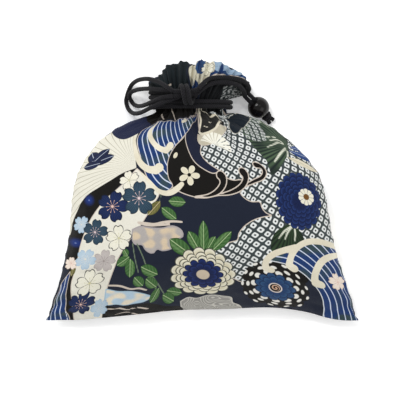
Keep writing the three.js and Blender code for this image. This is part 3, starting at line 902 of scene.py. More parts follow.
# Its drawn strokes: x, y and half width.
STROKES = {
    "cream_bands": [
        [(-33.5, 50.5, 1.6), (-37.5, 46, 1.9), (-38.3, 41, 2), (-36, 35.5, 2), (-31, 30.6, 2.2),
         (-26, 29, 2.4)],
        [(-26, 29, 2.2), (-23.4, 32.4, 3.3)],
        [(-49.5, 40, 1), (-49, 31, 1.6), (-47.3, 24.5, 2), (-44, 19, 2.3), (-39, 15.6, 2.6),
         (-33.4, 15, 3.3)],
        [(-33.4, 15, 3), (-31.6, 16.6, 3.8)],
        [(-44, 12.5, 0.7), (-38.5, 6.4, 1.4), (-31.5, -0.4, 1.6), (-24.5, -1.8, 1.9), (-19, 1, 2.2),
         (-15, 4.8, 1.8)],
        [(-14, 51.4, 2.4), (-12.6, 53, 2.4)],
        [(-1.4, 62, 1), (-1.8, 56, 1.3), (-1.4, 50, 1.1), (-2.4, 45.6, 0.8)],
        [(-0.6, 61, 0.9), (3, 58, 1.4), (7, 56.4, 1.4), (11, 57, 1.2), (14, 54, 0.9)],
        [(-2.6, 45.9, 0.7), (-0.3, 42.8, 1.2), (4.1, 42.8, 1.3), (8.4, 45.4, 1.1), (11.4, 49.4, 1.2),
         (13, 53, 0.9)],
        [(3.4, 50.2, 0.3), (5.4, 51, 0.9), (7, 52.4, 0.3)],
        [(0.4, 48.4, 0.3), (3, 47.2, 0.7), (5.4, 47.8, 0.3)],
        [(67, -41, 2.4), (58.7, -43, 2.2), (50.6, -46.4, 2.2), (46.2, -51, 2.1), (45.8, -55.5, 2.4)],
        [(46.2, -56.6, 2.6), (49.6, -57.4, 2.9)],
        [(97, -42.6, 1.6), (91, -38.2, 2.2), (84, -36.6, 2.2), (76, -37, 2.2), (69, -40.5, 2.2),
         (64.4, -46.7, 2.2), (62.8, -52.6, 2.4)],
        [(63, -54, 2.8), (66.2, -56, 3.2)],
        [(99, -46.5, 1.8), (92.3, -48, 2.4), (86, -52.5, 2.5), (82, -59.8, 2.4), (81.6, -65.6, 2.8)],
        [(82.4, -67.6, 2.9), (86.2, -68.1, 3.2)],
    ],
    "far_scroll": [[(39, 19.2, 2.5), (40.4, 19, 2.3), (43.6, 17.2, 1.6), (45.2, 13.4, 1.6),
        (43.4, 9.8, 1.6), (38, 7.2, 1.4), (31, 3.9, 0.9)]],
    "middle_scroll": [[(29.2, 13.9, 3.2), (30.4, 12.6, 3.0), (31.4, 9.6, 2.3), (30.4, 5.8, 2.1),
        (27, 1.9, 2.0), (19.5, -1.6, 1.4), (11, -3, 0.5)]],
    "near_scroll": [[(13, 11.2, 3.2), (14.4, 9.8, 3.0), (15, 5.4, 2.4), (11.4, -0.2, 2.1), (4.6, -3.6, 1.2),
        (-5, -4.6, 0.5)]],
    "stems": [
        [(-50.6, -38, 0.45), (-49, -48, 0.45), (-46.4, -59, 0.45)],
        [(-47.4, -38.4, 0.45), (-43, -48, 0.45), (-40.4, -55, 0.5), (-33, -67, 0.5), (-28, -76, 0.45)],
        [(-33, -67, 0.4), (-35, -75, 0.4)], [(-30, -3, 0.4), (-31, -8, 0.4)],
    ],
    "chains": [
        [(-46.4, -23, 0.5), (-41, -23.6, 0.6), (-35, -24.2, 0.5), (-29, -23, 0.6), (-22, -22.2, 0.5),
         (-15, -22.6, 0.4)],
        [(-46, -23.4, 0.4), (-39, -25, 0.5), (-31, -24.8, 0.5), (-24, -24.4, 0.4)],
        [(-69, -70, 0.5), (-60, -69.8, 0.6), (-52, -71.6, 0.5), (-46, -70.8, 0.6), (-41, -72.3, 0.4)],
        [(-70, -87, 0.5), (-62, -85.6, 0.5), (-55, -87, 0.5), (-48, -85, 0.5), (-40, -86.4, 0.5)],
        [(-64, -90, 0.4), (-52, -89, 0.5), (-40, -89.6, 0.4), (-28, -87.6, 0.4)],
        [(-31.5, 79, 0.5), (-28.6, 76.6, 0.6), (-23, 77.6, 0.4)], [(-30.4, 58, 0.6), (-28.6, 53.6, 0.4)],
        [(-23, 60, 0.5), (-21.4, 57, 0.5), (-20, 53.4, 0.3)],
        [(-3.4, 62, 0.8), (-2.8, 54, 0.8), (-2, 46, 0.5)], [(-13.4, 53, 0.5), (-4.6, 59.6, 0.5)],
        [(2.4, 81.4, 0.4), (9, 84.4, 0.5), (16, 85, 0.5), (24, 84, 0.5), (31, 81, 0.4)],
    ],
    "needles": [
        [(58.6, 34.8, 0.5), (56.6, 36.8, 0.6), (53.6, 37.4, 0.6), (48.6, 36.2, 0.5)],
        [(58.8, 34, 0.5), (55.4, 35, 0.6), (51.3, 33.2, 0.5), (46.8, 31.4, 0.4)],
        [(60, 31, 0.5), (55.9, 26.4, 0.7), (52.2, 21.2, 0.5)], [(61.4, 28.4, 0.5), (61.2, 23.6, 0.5)],
        [(46.2, 39.4, 0.6), (48.9, 39.9, 0.6)], [(50.8, 39.7, 0.6), (53.2, 39.5, 0.6)],
        [(41, 50.8, 0.4), (45, 49.4, 0.5), (48.6, 46.6, 0.4)],
        [(63.9, -25.6, 0.5), (59, -29, 0.6), (55, -34.4, 0.4)],
        [(64.6, -26, 0.5), (61.4, -30, 0.6), (59.4, -35, 0.4)],
        [(66.4, -26.6, 0.5), (66.9, -31, 0.6), (66.6, -36, 0.4)],
    ],
}
# Lines that the stripes of the waves follow, and how far from them the stripes go.
GUIDES = {
    "high_lines": ([(-33, 57), (-40, 51), (-44.5, 46), (-47.5, 39), (-46.6, 30.5), (-44, 21), (-41.5, 13),
        (-38.5, 7), (-33, 1), (-26, -3)], 60.0),
    "low_lines": ([(42, -52), (50, -51.8), (61.5, -53.3), (69, -57), (76.4, -62.6), (82, -69.1),
        (86.7, -76.5), (88.5, -86), (88.4, -97)], 60.0),
    "corner_lines": ([(-95, -54), (-97.5, -66), (-99.5, -76), (-100, -86), (-98, -97)], 30.0),
}

SLATE, NAVY, WHITE, SKY, DOVE, ROSE = range(6)
# Flowers and rays: the middle's x and y, half the width and height, the turn in degrees and the tint.
FLOWERS = {
    "blossoms": [(-46, -5.4, 12.6, 12.6, 90, SLATE), (-78.1, -30, 9.6, 9.6, 80, SLATE),
        (-85, -49.5, 7.8, 7.8, 60, SKY), (-82.3, -67.4, 10.4, 10.4, 100, WHITE),
        (99.2, -66.3, 6.8, 6.8, 90, ROSE), (-75.5, -86, 6.5, 6.5, 40, SKY), (4, 90, 5, 5, 50, WHITE)],
    "blossoms_under": [(-65, -11.4, 11.6, 11.6, 75, NAVY), (-71.6, -51, 8.6, 8.6, 85, DOVE),
        (-88.8, -82.6, 10.2, 10.2, 85, NAVY), (-53, 7.6, 7.4, 7.4, 110, WHITE),
        (-88.4, -24.4, 6.4, 6.4, 60, SKY), (-96, -52.6, 4.8, 5.6, 90, ROSE),
        (-60.6, -34.4, 9.8, 9.8, 95, WHITE)],
    "plum": [(-9.6, 11.7, 7.9, 7.9, 64, 0)],
    "cream_dahlia": [(0.4, -61.4, 24, 17.6, 0, 0)],
    "dark_dahlia": [(53.2, -70.4, 24.6, 16.4, -4, 0)],
    "blue_dahlia": [(70.6, -7.4, 16.8, 21.4, -8, 0)],
    "daisy": [(75, -4.4, 5.6, 6.4, 10, 0)],
    "glows": [(-82.3, -6.7, 5, 6, 40, 0), (-92.2, -37.6, 4.6, 8.6, 80, 0)],
    "pine_rays": [(62, 32.6, 10, 10, 0, 0), (63.4, -23.6, 10, 10, 0, 0)],
    "fold_fan": [(9, 33.4, 11, 11, 60, 0)],
}

GREEN, OLIVE, NAVY_LEAF, BLUE_LEAF, CREAM_LEAF = range(5)
# Leaves: x and y of the stem and of the tip, half the width and the tint.
LEAVES = {
    "leaves": [(-8.5, -46.8, -23.8, -35.2, 5.2, GREEN), (0.6, -43.5, 1, -21.6, 3.7, GREEN),
        (-12.2, -8.4, -24.6, -7.4, 3.8, GREEN), (-30.6, -7.6, -39.6, -17.6, 3.4, OLIVE),
        (-52.8, -49, -52.2, -63, 3.8, GREEN), (-32.4, -60.8, -44.8, -54.6, 4.1, GREEN),
        (-33.2, -70.8, -41.6, -63.4, 4, GREEN), (-32.5, -71.5, -37.4, -82.4, 3.2, GREEN),
        (-20.6, -81.4, -29.4, -76.4, 3.7, GREEN), (-77, 19.6, -70.4, 31.4, 4, NAVY_LEAF),
        (-75, 20, -87, 17.4, 3.4, NAVY_LEAF), (66, 25, 82, 13, 3, CREAM_LEAF),
        (7, -43, 21.6, -29.6, 3.8, GREEN)],
    "leaves_under": [(-2.2, -43.4, -10, -29.4, 4.3, GREEN), (3, -43, 9.6, -33, 3.2, GREEN),
        (-19, -20.6, -29.6, -12.2, 3.8, GREEN), (-53.2, -47.6, -62, -54.4, 3.6, GREEN),
        (-54, -47, -57.4, -42.2, 2.4, GREEN), (-43, -69.2, -50, -62.4, 4, GREEN),
        (-15, -75.8, -26.2, -73.4, 3.2, GREEN), (-75, 19.6, -83.4, 28.6, 4, NAVY_LEAF),
        (-78, 19.6, -65.4, 25.6, 4, NAVY_LEAF), (70, 31, 84, 17, 3.4, BLUE_LEAF),
        (66, 33, 76, 30, 3, BLUE_LEAF), (-20.6, 23.6, -18.6, 28, 1.4, CREAM_LEAF),
        (-95, -62, -93.8, -54, 2, OLIVE)],
}


def casing_slit():
    """How far each place lies from the middle of the slit the cords come out of; 1 at its edge."""
    x, y, z = np.moveaxis(base, 2, 0)
    first, second = (ROUTES[name][1] for name in ("cord_wrap_a", "cord_wrap_b"))
    off = np.hypot((y - (first[1] + second[1]) / 2) / 4.4, (z - first[2]) / 2.6)
    return np.where(x < NECK["x"], off, FAR_OFF).ravel()


fan_tip = on_cloth(*FAN_TIP)[0]
off_tip = printed - fan_tip
fan_line = np.degrees(np.arctan2(off_tip[:, 1], -off_tip[:, 0])) + 0.16 * np.hypot(*off_tip.T)
FIELDS = {
    **{name: area(points) for name, points in OUTLINES.items()},
    **{name: bands(*lines) for name, lines in STROKES.items()},
    **{name: away_from(drawn(line), reach=reach) for name, (line, reach) in GUIDES.items()},
    "fan_lines": fan_line,
    "shade": 0.5 + 0.18 * unevenness(*printed.T, 22, 5),
    "patches": unevenness(*printed.T, 9, 6),
    "swirl": unevenness(*printed.T, 16, 7),
    "wobble": unevenness(*printed.T, 30, 8),
    "across": grid_s.ravel(),
    "up": grid_t.ravel(),
    "front": upright.ravel(),
    "slit": casing_slit(),
}
PRINT_GROUPS = {  # the fields that each attribute of the bag's mesh carries
    "print_left": ("fan", "shoulder", "dark_ribbon", "blossom_ribbon"),
    "print_waves": ("high_wave", "low_wave", "corner_wave", "corner_dark"),
    "print_night": ("night", "dusk", "dusk_shoulder", "tan_fold"),
    "print_dots": ("kanoko", "pine", "side_leaf", "low_dark"),
    "print_clouds": ("grey_cloud", "blush_cloud", "sky_cloud", "low_night"),
    "print_mouth": ("mouth_blue", "mouth_cream", "mouth_sky", "cream_bands"),
    "print_lobes": ("mouth_dark", "mouth_dusk", "mouth_dots", "fold_night"),
    "print_scrolls": ("far_scroll", "middle_scroll", "near_scroll", "stems"),
    "print_lines": ("chains", "fan_lines", "neck_dark_and_shade", "needles"),
    "print_water": ("high_lines", "low_lines", "corner_lines", "tied_pine"),
    "print_tones": ("shade", "patches", "swirl", "wobble"),
    "cloth": ("across", "up", "front", "slit"),
}


def carry_print():
    """The print's fields, and the coordinates in its flowers and leaves, as attributes of the bag's mesh."""
    tables = {}
    for group, names in PRINT_GROUPS.items():
        tables[group] = np.column_stack([FIELDS[name] for name in names])
    tables |= {name: motifs(places) for name, places in FLOWERS.items()}
    tables |= {name: leaves(places) for name, places in LEAVES.items()}
    for name, table in tables.items():
        table = table.reshape(len(base), 2 * COLUMNS, 4)[bag_rows].reshape(-1, 4)
        add_attribute(bag, name, np.vstack([table, table[-1]]))


carry_print()

# ---------------------------------------------------------------- floor and light


def add_floor():
    """A sheet of white paper, with a little light of its own so that shadows on it stay pale."""
    bm = bmesh.new()
    bmesh.ops.create_grid(bm, x_segments=1, y_segments=1, size=3)
    floor = from_bmesh("floor", bm)
    material = bpy.data.materials.new("white_paper")
    material.use_nodes = True
    shader = material.node_tree.nodes["Principled BSDF"]
    shader.inputs["Base Color"].default_value = (1, 1, 1, 1)
    shader.inputs["Roughness"].default_value = 0.9
    shader.inputs["Emission Color"].default_value = (1, 1, 1, 1)
    shader.inputs["Emission Strength"].default_value = 0.22
    floor.data.materials.append(material)


def add_lamp(name, place, size, power):
    """A soft square lamp that faces the bag."""
    data = bpy.data.lights.new(name, "AREA")
    data.shape = "SQUARE"
    data.size = size
    data.energy = power
    lamp = new_object(name, data)
    lamp.location = place
    lamp.rotation_euler = (-Vector(place)).to_track_quat("-Z", "Y").to_euler()


def add_light():
    """Even white light all round, two large soft lamps, and two small ones that the bead reflects."""
    world = bpy.data.worlds.new("studio")
    world.use_nodes = True
    background = world.node_tree.nodes["Background"]
    background.inputs["Color"].default_value = (1, 1, 1, 1)
    background.inputs["Strength"].default_value = 0.7
    bpy.context.scene.world = world
    add_lamp("key", (-0.7, 0.9, 1.3), 0.7, 10.5)
    add_lamp("fill", (1.0, -0.5, 1.2), 1.0, 4)
    add_lamp("spark", (-0.22, 0.5, 1.0), 0.05, 1.4)
    add_lamp("small_spark", (0.2, 0.42, 1.1), 0.035, 0.7)


bpy.context.scene.view_settings.view_transform = "Standard"
add_floor()
add_light()

# ---------------------------------------------------------------- finishes

YARN_PITCH = 0.7
KANOKO_ROWS = ((-32, 5.0), (51, 5.6))  # the two ways the rows of squares run, in degrees, and their steps
WAVE_LINE_PITCH = 4.4
LOW_WAVE_LINE_PITCH = 5.0
FAN_RAY_PITCH = 4.6  # in degrees
STITCH_LENGTH = 2.8
FINE_LINE = 0.3  # half width of the lines drawn along the print's edges
WIDE_LINE = 0.36

INK, BLACK_DYE, CREAM, LINE = 0x1B2130, 0x12100E, 0xDFDCCE, 0xC9BDB0
PETAL, PETAL_SHADOW, BEIGE = 0xE2DECB, 0x4A4A3E, 0xC4B6A0


def colour(code):
    """A linear colour from its usual six-digit code."""
    parts = [(code >> shift & 255) / 255 for shift in (16, 8, 0)]
    return (*(p / 12.92 if p <= 0.04045 else ((p + 0.055) / 1.055) ** 2.4 for p in parts), 1)


class Value:
    """A number, colour or place that varies over a piece. Reckoning with it adds nodes to its material."""

    def __init__(self, paint, socket):
        self.paint = paint
        self.socket = socket

    def __add__(self, other):
        return self.paint.maths("ADD", self, other)

    def __sub__(self, other):
        return self.paint.maths("SUBTRACT", self, other)

    def __rsub__(self, other):
        return self.paint.maths("SUBTRACT", other, self)

    def __mul__(self, other):
        return self.paint.maths("MULTIPLY", self, other)

    def __pow__(self, other):
        return self.paint.maths("POWER", self, other)

    def __abs__(self):
        return self.paint.maths("ABSOLUTE", self)

    def scaled(self, by, plus):
        return self.paint.maths("MULTIPLY_ADD", self, by, plus)

    def fraction(self):
        return self.paint.maths("FRACT", self)

    def sine(self):
        return self.paint.maths("SINE", self)

    def cosine(self):
        return self.paint.maths("COSINE", self)

    def most(self, other):
        return self.paint.maths("MAXIMUM", self, other)

    def least(self, other):
        return self.paint.maths("MINIMUM", self, other)

    def rise(self, low, high):
        """From 0 at low to 1 at high, which may be the smaller one."""
        made = self.paint.node("MapRange", self, low, high, interpolation_type="SMOOTHSTEP", clamp=False)
        return Value(self.paint, made.outputs[0])

    def below(self, limit, soft=0.12):
        """1 where the value is below limit, with a narrow soft edge."""
        return self.rise(limit + soft / 2, limit - soft / 2)


class Paint:
    """A material whose nodes are added by plain calls, and the colours laid on it so far."""

    def __init__(self, name, ground=BLACK_DYE):
        self.material = bpy.data.materials.new(name)
        self.material.use_nodes = True
        self.tree = self.material.node_tree
        self.shader = self.tree.nodes["Principled BSDF"]
        self.laid = ground

    def plug(self, socket, value):
        """Sets a socket to a value, a number, or a colour by its code."""
        if isinstance(value, Value):
            self.tree.links.new(value.socket, socket)
        else:
            socket.default_value = colour(value) if socket.type == "RGBA" else value

    def node(self, kind, *inputs, **settings):
        made = self.tree.nodes.new("ShaderNode" + kind)
        for name, value in settings.items():
            setattr(made, name, value)
        for socket, value in zip(made.inputs, inputs):
            self.plug(socket, value)
        return made

    def maths(self, operation, *inputs):
        return Value(self, self.node("Math", *inputs, operation=operation).outputs[0])

    def blend(self, share, under, over, way="MIX"):
        made = self.node("Mix", data_type="RGBA", clamp_factor=True, blend_type=way)
        for socket, value in ((made.inputs[0], share), (made.inputs[6], under), (made.inputs[7], over)):
            self.plug(socket, value)
        return Value(self, made.outputs[2])

    def channels(self, name):
        """An attribute's four numbers."""
        read = self.node("Attribute", attribute_name=name, attribute_type="GEOMETRY")
        split = self.node("SeparateColor", Value(self, read.outputs["Color"]))
        return tuple(Value(self, socket) for socket in (*split.outputs, read.outputs["Alpha"]))

    def field(self, name):
        """One field of the print, read again just where it's needed."""
        group = next(group for group, names in PRINT_GROUPS.items() if name in names)
        return self.channels(group)[PRINT_GROUPS[group].index(name)]

    def around(self, name):
        """The turn round the middle of a motif."""
        u, v, *_ = self.channels(name)
        return self.maths("ARCTAN2", v, u)

    def place(self):
        return Value(self, self.node("TexCoord").outputs["Object"])

    def noise(self, place, scale, detail=2.0):
        made = self.node("TexNoise", noise_dimensions="3D")
        self.plug(made.inputs["Vector"], place)
        made.inputs["Scale"].default_value = scale
        made.inputs["Detail"].default_value = detail
        return Value(self, made.outputs["Fac"])

    def choice(self, tint, codes):
        """One of several colours by a motif's tint."""
        ramp = self.node("ValToRGB", tint.scaled(0.1, 0.05))
        ramp.color_ramp.interpolation = "CONSTANT"
        while len(ramp.color_ramp.elements) < len(codes):
            ramp.color_ramp.elements.new(1.0)
        for number, (stop, code) in enumerate(zip(ramp.color_ramp.elements, codes)):
            stop.position = number / 10
            stop.color = colour(code)
        return Value(self, ramp.outputs["Color"])

    def cover(self, share, fill):
        """Lays a fill over the colours so far, where share is 1."""
        self.laid = self.blend(share, self.laid, fill)

    def lay(self, name, fill, rim=0.0, rim_fill=LINE):
        """Lays a field of the print, with an optional line along its edge."""
        distance = self.field(name)
        self.cover(distance.below(0), fill)
        if rim:
            self.cover(abs(distance).below(rim), rim_fill)

    def finish(self, look, relief, deep, roughness, specular, sheen=0.0, coat=0.0):
        """Joins up the shader. A relief whose height is about 1 is so many millimetres deep."""
        bump = self.node("Bump")
        bump.inputs["Distance"].default_value = deep * MM
        self.plug(bump.inputs["Height"], relief)
        self.plug(self.shader.inputs["Normal"], Value(self, bump.outputs["Normal"]))
        self.plug(self.shader.inputs["Base Color"], look)
        self.plug(self.shader.inputs["Roughness"], roughness)
        for name, amount in {"Specular IOR Level": specular, "Sheen Weight": sheen, "Sheen Roughness": 0.5,
                             "Coat Weight": coat, "Coat Roughness": 0.04}.items():
            self.shader.inputs[name].default_value = amount
        return self.material


def kanoko_squares(paint, s, t):
    """Rows of small tied-and-dyed squares, each with a dark point."""
    wobble = paint.field("wobble")
    s = wobble.scaled(0.8, s)
    t = wobble.scaled(-0.5, t)
    (first, first_step), (second, second_step) = KANOKO_ROWS
    size = []
    for turn, step in ((second, first_step), (first, second_step)):
        close = step * math.sin(math.radians(second - first))
        turn = math.radians(turn)
        along = s.scaled(math.sin(turn) / close, t * (-math.cos(turn) / close))
        size.append(abs(along.fraction() - 0.5) ** 4.0)
    reach = (size[0] + size[1]) ** 0.25
    square = paint.blend(reach.below(0.355, 0.06), 0x3B4344, 0xDDE0DE)
    return paint.blend(reach.below(0.125, 0.05), square, 0x2A2E33)


def wave_stripes(paint, guide, shade, pitch):
    """Water in blue with fine pale lines along its edge."""
    distance = paint.field(guide)
    water = paint.blend(shade.rise(0.46, 0.72), 0x1D3769, 0x34464D)
    phase = abs(distance.scaled(1 / pitch, 0.5).fraction() - 0.5)
    return paint.blend(phase.below(0.4 / pitch, 0.03), water, 0xC9D3E6)


def blossoms(paint, name):
    """Cherry flowers with five notched petals, fine streaks and ten stamens."""
    _, _, tint, far = paint.channels(name)
    turn = paint.around(name)
    petal = abs((turn * 2.5).cosine())
    reach = petal.rise(0.92, 1.0).scaled(-0.12, (petal ** 0.45).scaled(0.6, 0.4))
    gap = far - reach
    fill = paint.choice(tint, (0x2B4050, 0x17244A, 0xE2DFCE, 0xA9C0D0, 0xB4ACA8, 0xE4D6C8))
    pale = paint.choice(tint, (0x41576A, 0x233663, 0xEEEADB, 0xD9DDE0, 0xC9C3C0, 0xF0E4DA))
    streak = abs((turn * 20).sine()).below(0.35, 0.4) * far.below(0.75, 0.5)
    paint.cover(gap.below(0, 0.02), paint.blend(streak, fill, pale))
    between = (petal * far).below(0.05, 0.03) * gap.below(0, 0.02)
    line = abs(gap).below(0.035, 0.02).most(between) * far.below(1.0, 0.02)
    paint.cover(line, paint.choice(tint, (0x202F3C, 0x10182F, 0x2C2C30, 0x9DB6CC, 0xA59D9A, 0xC9B5A6)))
    tip = abs(far - 0.37).below(0.04, 0.02) * 0.045
    stamen = (abs((turn * 5).sine()) * far - tip).below(0.04, 0.03)
    stamen = (stamen * far.below(0.41, 0.03)).most(far.below(0.09, 0.03))
    paint.cover(stamen, paint.choice(tint, (0xD9C4C4, 0xE0BCAE, 0xC9C49A, 0xE6DCC8, 0x8E8682, 0xC98E78)))


def rosette(paint, name, rings, fill, line, heart=(0.0, BLACK_DYE), slim=0.5, depth=0.16):
    """A round flower of overlapping rings of petals: each ring's reach, petals and line width."""
    *_, far = paint.channels(name)
    turn = paint.around(name)
    for number, (reach, petals, width) in enumerate(rings):
        wave = abs(turn.scaled(petals / 2, 1.3 * number).cosine())
        gap = far - (wave ** slim).scaled(depth * reach**0.5, reach - depth * reach**0.5)
        paint.cover(gap.below(0, 0.02), paint.blend(gap.rise(0.0, -0.15), *fill))
        seam = wave.below(0.14, 0.1) * gap.below(0, 0.02)
        paint.cover(abs(gap).below(width, 0.02).most(seam) * far.below(1.05), line)
    paint.cover(far.below(heart[0], 0.03), heart[1])


def drops(paint, name, rings, fill):
    """Rings of small drops round a motif's middle: each ring's reach, count, start, length and width."""
    *_, far = paint.channels(name)
    turn = paint.around(name) * (0.5 / math.pi)
    for reach, count, start, long, wide in rings:
        room = 2 * math.pi * reach / count / wide
        aside = turn.scaled(count, start).fraction().scaled(room, -room / 2)
        outward = far.scaled(1 / long, -reach / long)
        paint.cover((aside * aside + outward * outward).below(1.0, 0.6), fill)


def coiled_heart(paint, name, ground, coil):
    """A round heart with a small coil drawn in it."""
    *_, far = paint.channels(name)
    turn = paint.around(name) * (0.5 / math.pi)
    paint.cover(far.below(0.165, 0.02), ground)
    wound = abs(far.scaled(1 / 0.085, turn).fraction() - 0.5).below(0.24, 0.12)
    paint.cover(wound * far.below(0.13, 0.02), coil)


def foliage(paint, name):
    """Leaves with a pale middle vein and side veins."""
    u, v, tint, far = paint.channels(name)
    side = abs(v)
    gap = side - (1.0 - abs(u) ** 2.4)
    fill = paint.choice(tint, (0x4A7040, 0x6E6A3C, 0x1A2342, 0x24457F, 0xDDD6C0))
    dark = paint.choice(tint, (0x27481F, 0x4A4A2A, 0x0F152A, 0x182B5A, 0xC6BCA0))
    vein = paint.choice(tint, (0xA9BE8E, 0xC9B68E, 0xB4BECF, 0xB4BECF, 0xA59C84))
    light = paint.choice(tint, (0x82A06C, 0x8A8450, 0x243056, 0x35599A, 0xE8E2CE))
    rib = u.scaled(2.6, side * -1.3).fraction()
    fill = paint.blend(rib.below(0.5, 0.9) * 0.6, fill, dark)
    fill = paint.blend(abs(v - 0.45).below(0.1, 0.5) * 0.6, fill, light)
    fill = paint.blend(side.below(0.055, 0.06), fill, vein)
    within = far.below(1.0, 0.04)
    paint.cover(gap.below(0, 0.06) * within, fill)
    paint.cover(abs(gap).below(0.07, 0.05) * within, dark)


def fan_and_ribbons(paint, shade):
    """The cream fan, the dark ribbon with its glows, the corner's wave and the blossoms' ribbon."""
    ray = (paint.field("fan_lines") * (1 / FAN_RAY_PITCH)).fraction()
    paint.lay("fan", paint.blend(ray.below(0.11, 0.1), CREAM, 0xA9A48E))
    paint.lay("shoulder", 0x1E2440)
    paint.lay("corner_dark", BLACK_DYE)
    paint.lay("corner_wave", wave_stripes(paint, "corner_lines", shade, WAVE_LINE_PITCH), FINE_LINE)
    paint.lay("dark_ribbon", BLACK_DYE)
    *_, glow = paint.channels("glows")
    paint.cover(glow.below(0.55, 0.8), 0x1A3072)
    paint.cover(glow.below(0.08, 0.2), 0x9FB4E0)
    paint.lay("blossom_ribbon", 0xDFDCCF, FINE_LINE)


def squares_and_pine(paint, shade, squares):
    """The ground of tied squares, and the pine that fans out over it."""
    paint.lay("dusk", 0x1A1F33)
    paint.lay("kanoko", squares, WIDE_LINE)
    ray = abs((paint.around("pine_rays") * 22).sine()) ** 1.6 * shade.rise(0.0, 0.7)
    tied = paint.field("tied_pine").below(0, 2.0) * 0.7
    paint.lay("pine", paint.blend(tied, paint.blend(ray, 0x1B2424, 0x4C6048), squares, "LIGHTEN"))
    paint.lay("side_leaf", paint.blend(ray, 0x18211A, 0x34492F))
    paint.cover(paint.field("needles").below(0.1, 0.7), 0xD5D8C6)


def neck_and_night(paint, shade):
    """The dark shapes below the neck, one of them partly painted shade under the wraps, the small fan in its
    fold, the high wave and the three scrolls.
    """
    paint.lay("dusk_shoulder", 0x182029, FINE_LINE, 0xA9A79C)
    paint.lay("night", BLACK_DYE, WIDE_LINE)
    paint.lay("fold_night", 0x262624)
    paint.lay("tan_fold", paint.blend(shade, 0xD2CDBB, 0xB0A68C), FINE_LINE)
    # Painted shade under the neck's wraps, laid in the print's black over its dark.
    paint.lay("neck_dark_and_shade", BLACK_DYE)
    u, _, _, far = paint.channels("fold_fan")
    quill = abs((paint.around("fold_fan") * 9).sine()).rise(0.2, 0.4)
    paint.cover(far.below(1.0, 0.05) * quill * u.rise(-0.03, 0.03), 0xEDEBDD)
    paint.lay("high_wave", wave_stripes(paint, "high_lines", shade, WAVE_LINE_PITCH), FINE_LINE)
    for scroll in ("far_scroll", "middle_scroll", "near_scroll"):
        paint.lay(scroll, BLACK_DYE, 0.4)


def dark_dahlia(paint):
    """The black dahlia ringed with pale drops, with a blue flower and a coil in its middle."""
    paint.lay("low_dark", BLACK_DYE)
    rosette(paint, "dark_dahlia", ((1.0, 18, 0.012), (0.84, 14, 0.012)), (0x191714, 0x0F0E0C), BLACK_DYE)
    drops(paint, "dark_dahlia", ((0.96, 13, 0.1, 0.04, 0.085), (0.8, 12, 0.6, 0.05, 0.1),
                                 (0.63, 11, 0.25, 0.085, 0.11)), 0xE4E2DA)
    rosette(paint, "dark_dahlia", ((0.6, 11, 0.02), (0.46, 10, 0.015)), (0x2C5078, 0x1E3C66), 0x16294A,
            (0.2, 0xDDD3CC), depth=0.2)
    coiled_heart(paint, "dark_dahlia", BLACK_DYE, 0xC9A58C)


def wave_and_clouds(paint, shade, patches):
    """The low wave, the cream bands that hook over the waves, and the clouds."""
    paint.lay("low_wave", wave_stripes(paint, "low_lines", shade, LOW_WAVE_LINE_PITCH), WIDE_LINE, 0xD8DCE0)
    paint.lay("cream_bands", paint.blend(shade, 0xE8E2CF, 0xD2CAB2))
    curl = (paint.field("swirl") * 2.6).fraction().below(0.28, 0.2)
    paint.lay("grey_cloud", paint.blend(curl, 0x94928C, 0xC4C1B8), 0.4, 0xC4C1B8)
    paint.lay("blush_cloud", paint.blend(patches, 0xABA5A1, 0xCFBDA2), 0.5, 0xA39C9C)
    paint.lay("sky_cloud", paint.blend(patches, 0xAFC6D6, 0xE0D6C0), 0.4, 0x9FBACB)
    paint.lay("low_night", BLACK_DYE)


def mouth_lobes(paint, patches, squares):
    """The print on the ruffle."""
    paint.lay("mouth_dark", 0x171F23)
    paint.lay("mouth_dusk", 0x131517)
    paint.lay("mouth_dots", paint.blend(0.6, squares, 0x1C2220))
    paint.lay("mouth_blue", paint.blend(patches, 0x1D335C, 0x2C4A74))
    blots = paint.field("swirl").rise(0.45, 0.65)
    paint.lay("mouth_sky", paint.blend(blots, 0x8FA6BC, 0x1D3A6C))
    paint.lay("mouth_cream", paint.blend(blots * 0.7, 0xCFCAB6, 0x70706A))


def stems_and_flowers(paint):
    """The fine lines, the leaves and the flowers, which lie over everything else."""
    paint.cover(paint.field("stems").below(0.0, 0.3), 0x667560)
    paint.cover(paint.field("chains").below(0.3), LINE)
    foliage(paint, "leaves_under")
    foliage(paint, "leaves")
    blossoms(paint, "blossoms_under")
    blossoms(paint, "blossoms")
    rosette(paint, "cream_dahlia", ((1.0, 15, 0.018), (0.84, 14, 0.018), (0.72, 13, 0.018)),
            (PETAL, 0xD2CBB0), PETAL_SHADOW, (0.0, PETAL))
    rosette(paint, "cream_dahlia", ((0.61, 12, 0.02), (0.46, 9, 0.015)), (0x1D2E66, 0x142048), 0x0E1534,
            (0.2, BEIGE), depth=0.2)
    rings = ((1.0, 17), (0.86, 15), (0.72, 13), (0.58, 12), (0.44, 10))
    rosette(paint, "blue_dahlia", [(*ring, 0.012) for ring in rings], (0x1F3468, 0x131F46), 0x0B132E)
    rosette(paint, "daisy", ((1.0, 10, 0.03),), (0xE9E6DA, PETAL), 0x26325A, (0.36, 0x6E4A22))
    rosette(paint, "plum", ((1.0, 5, 0.02),), (PETAL, 0xD9D2BA), BLACK_DYE, (0.18, BLACK_DYE),
            slim=0.7, depth=0.78)


def weave(s, t):
    """Over and under of a plain weave, between -1 and 1: the cloth's relief, and painted shade and light on
    its tone.
    """
    return (s * (2 * math.pi / YARN_PITCH)).sine() * (t * (2 * math.pi / YARN_PITCH)).sine()


def stitches(s, t):
    """Running stitches along both sides of the casing and along the ruffle's edge."""
    rows = (cloth_t[neck_row] - 3.0, cloth_t[ruffle_row] + 3.0, cloth_t[-1] - 3.2)
    below_casing, above_casing, at_edge = (abs(t - float(row)) for row in rows)
    beside = below_casing.least(above_casing).least(at_edge)
    dash = abs((s * (1 / STITCH_LENGTH)).fraction() - 0.5)
    return beside.below(0.28, 0.15) * dash.below(0.36, 0.06)


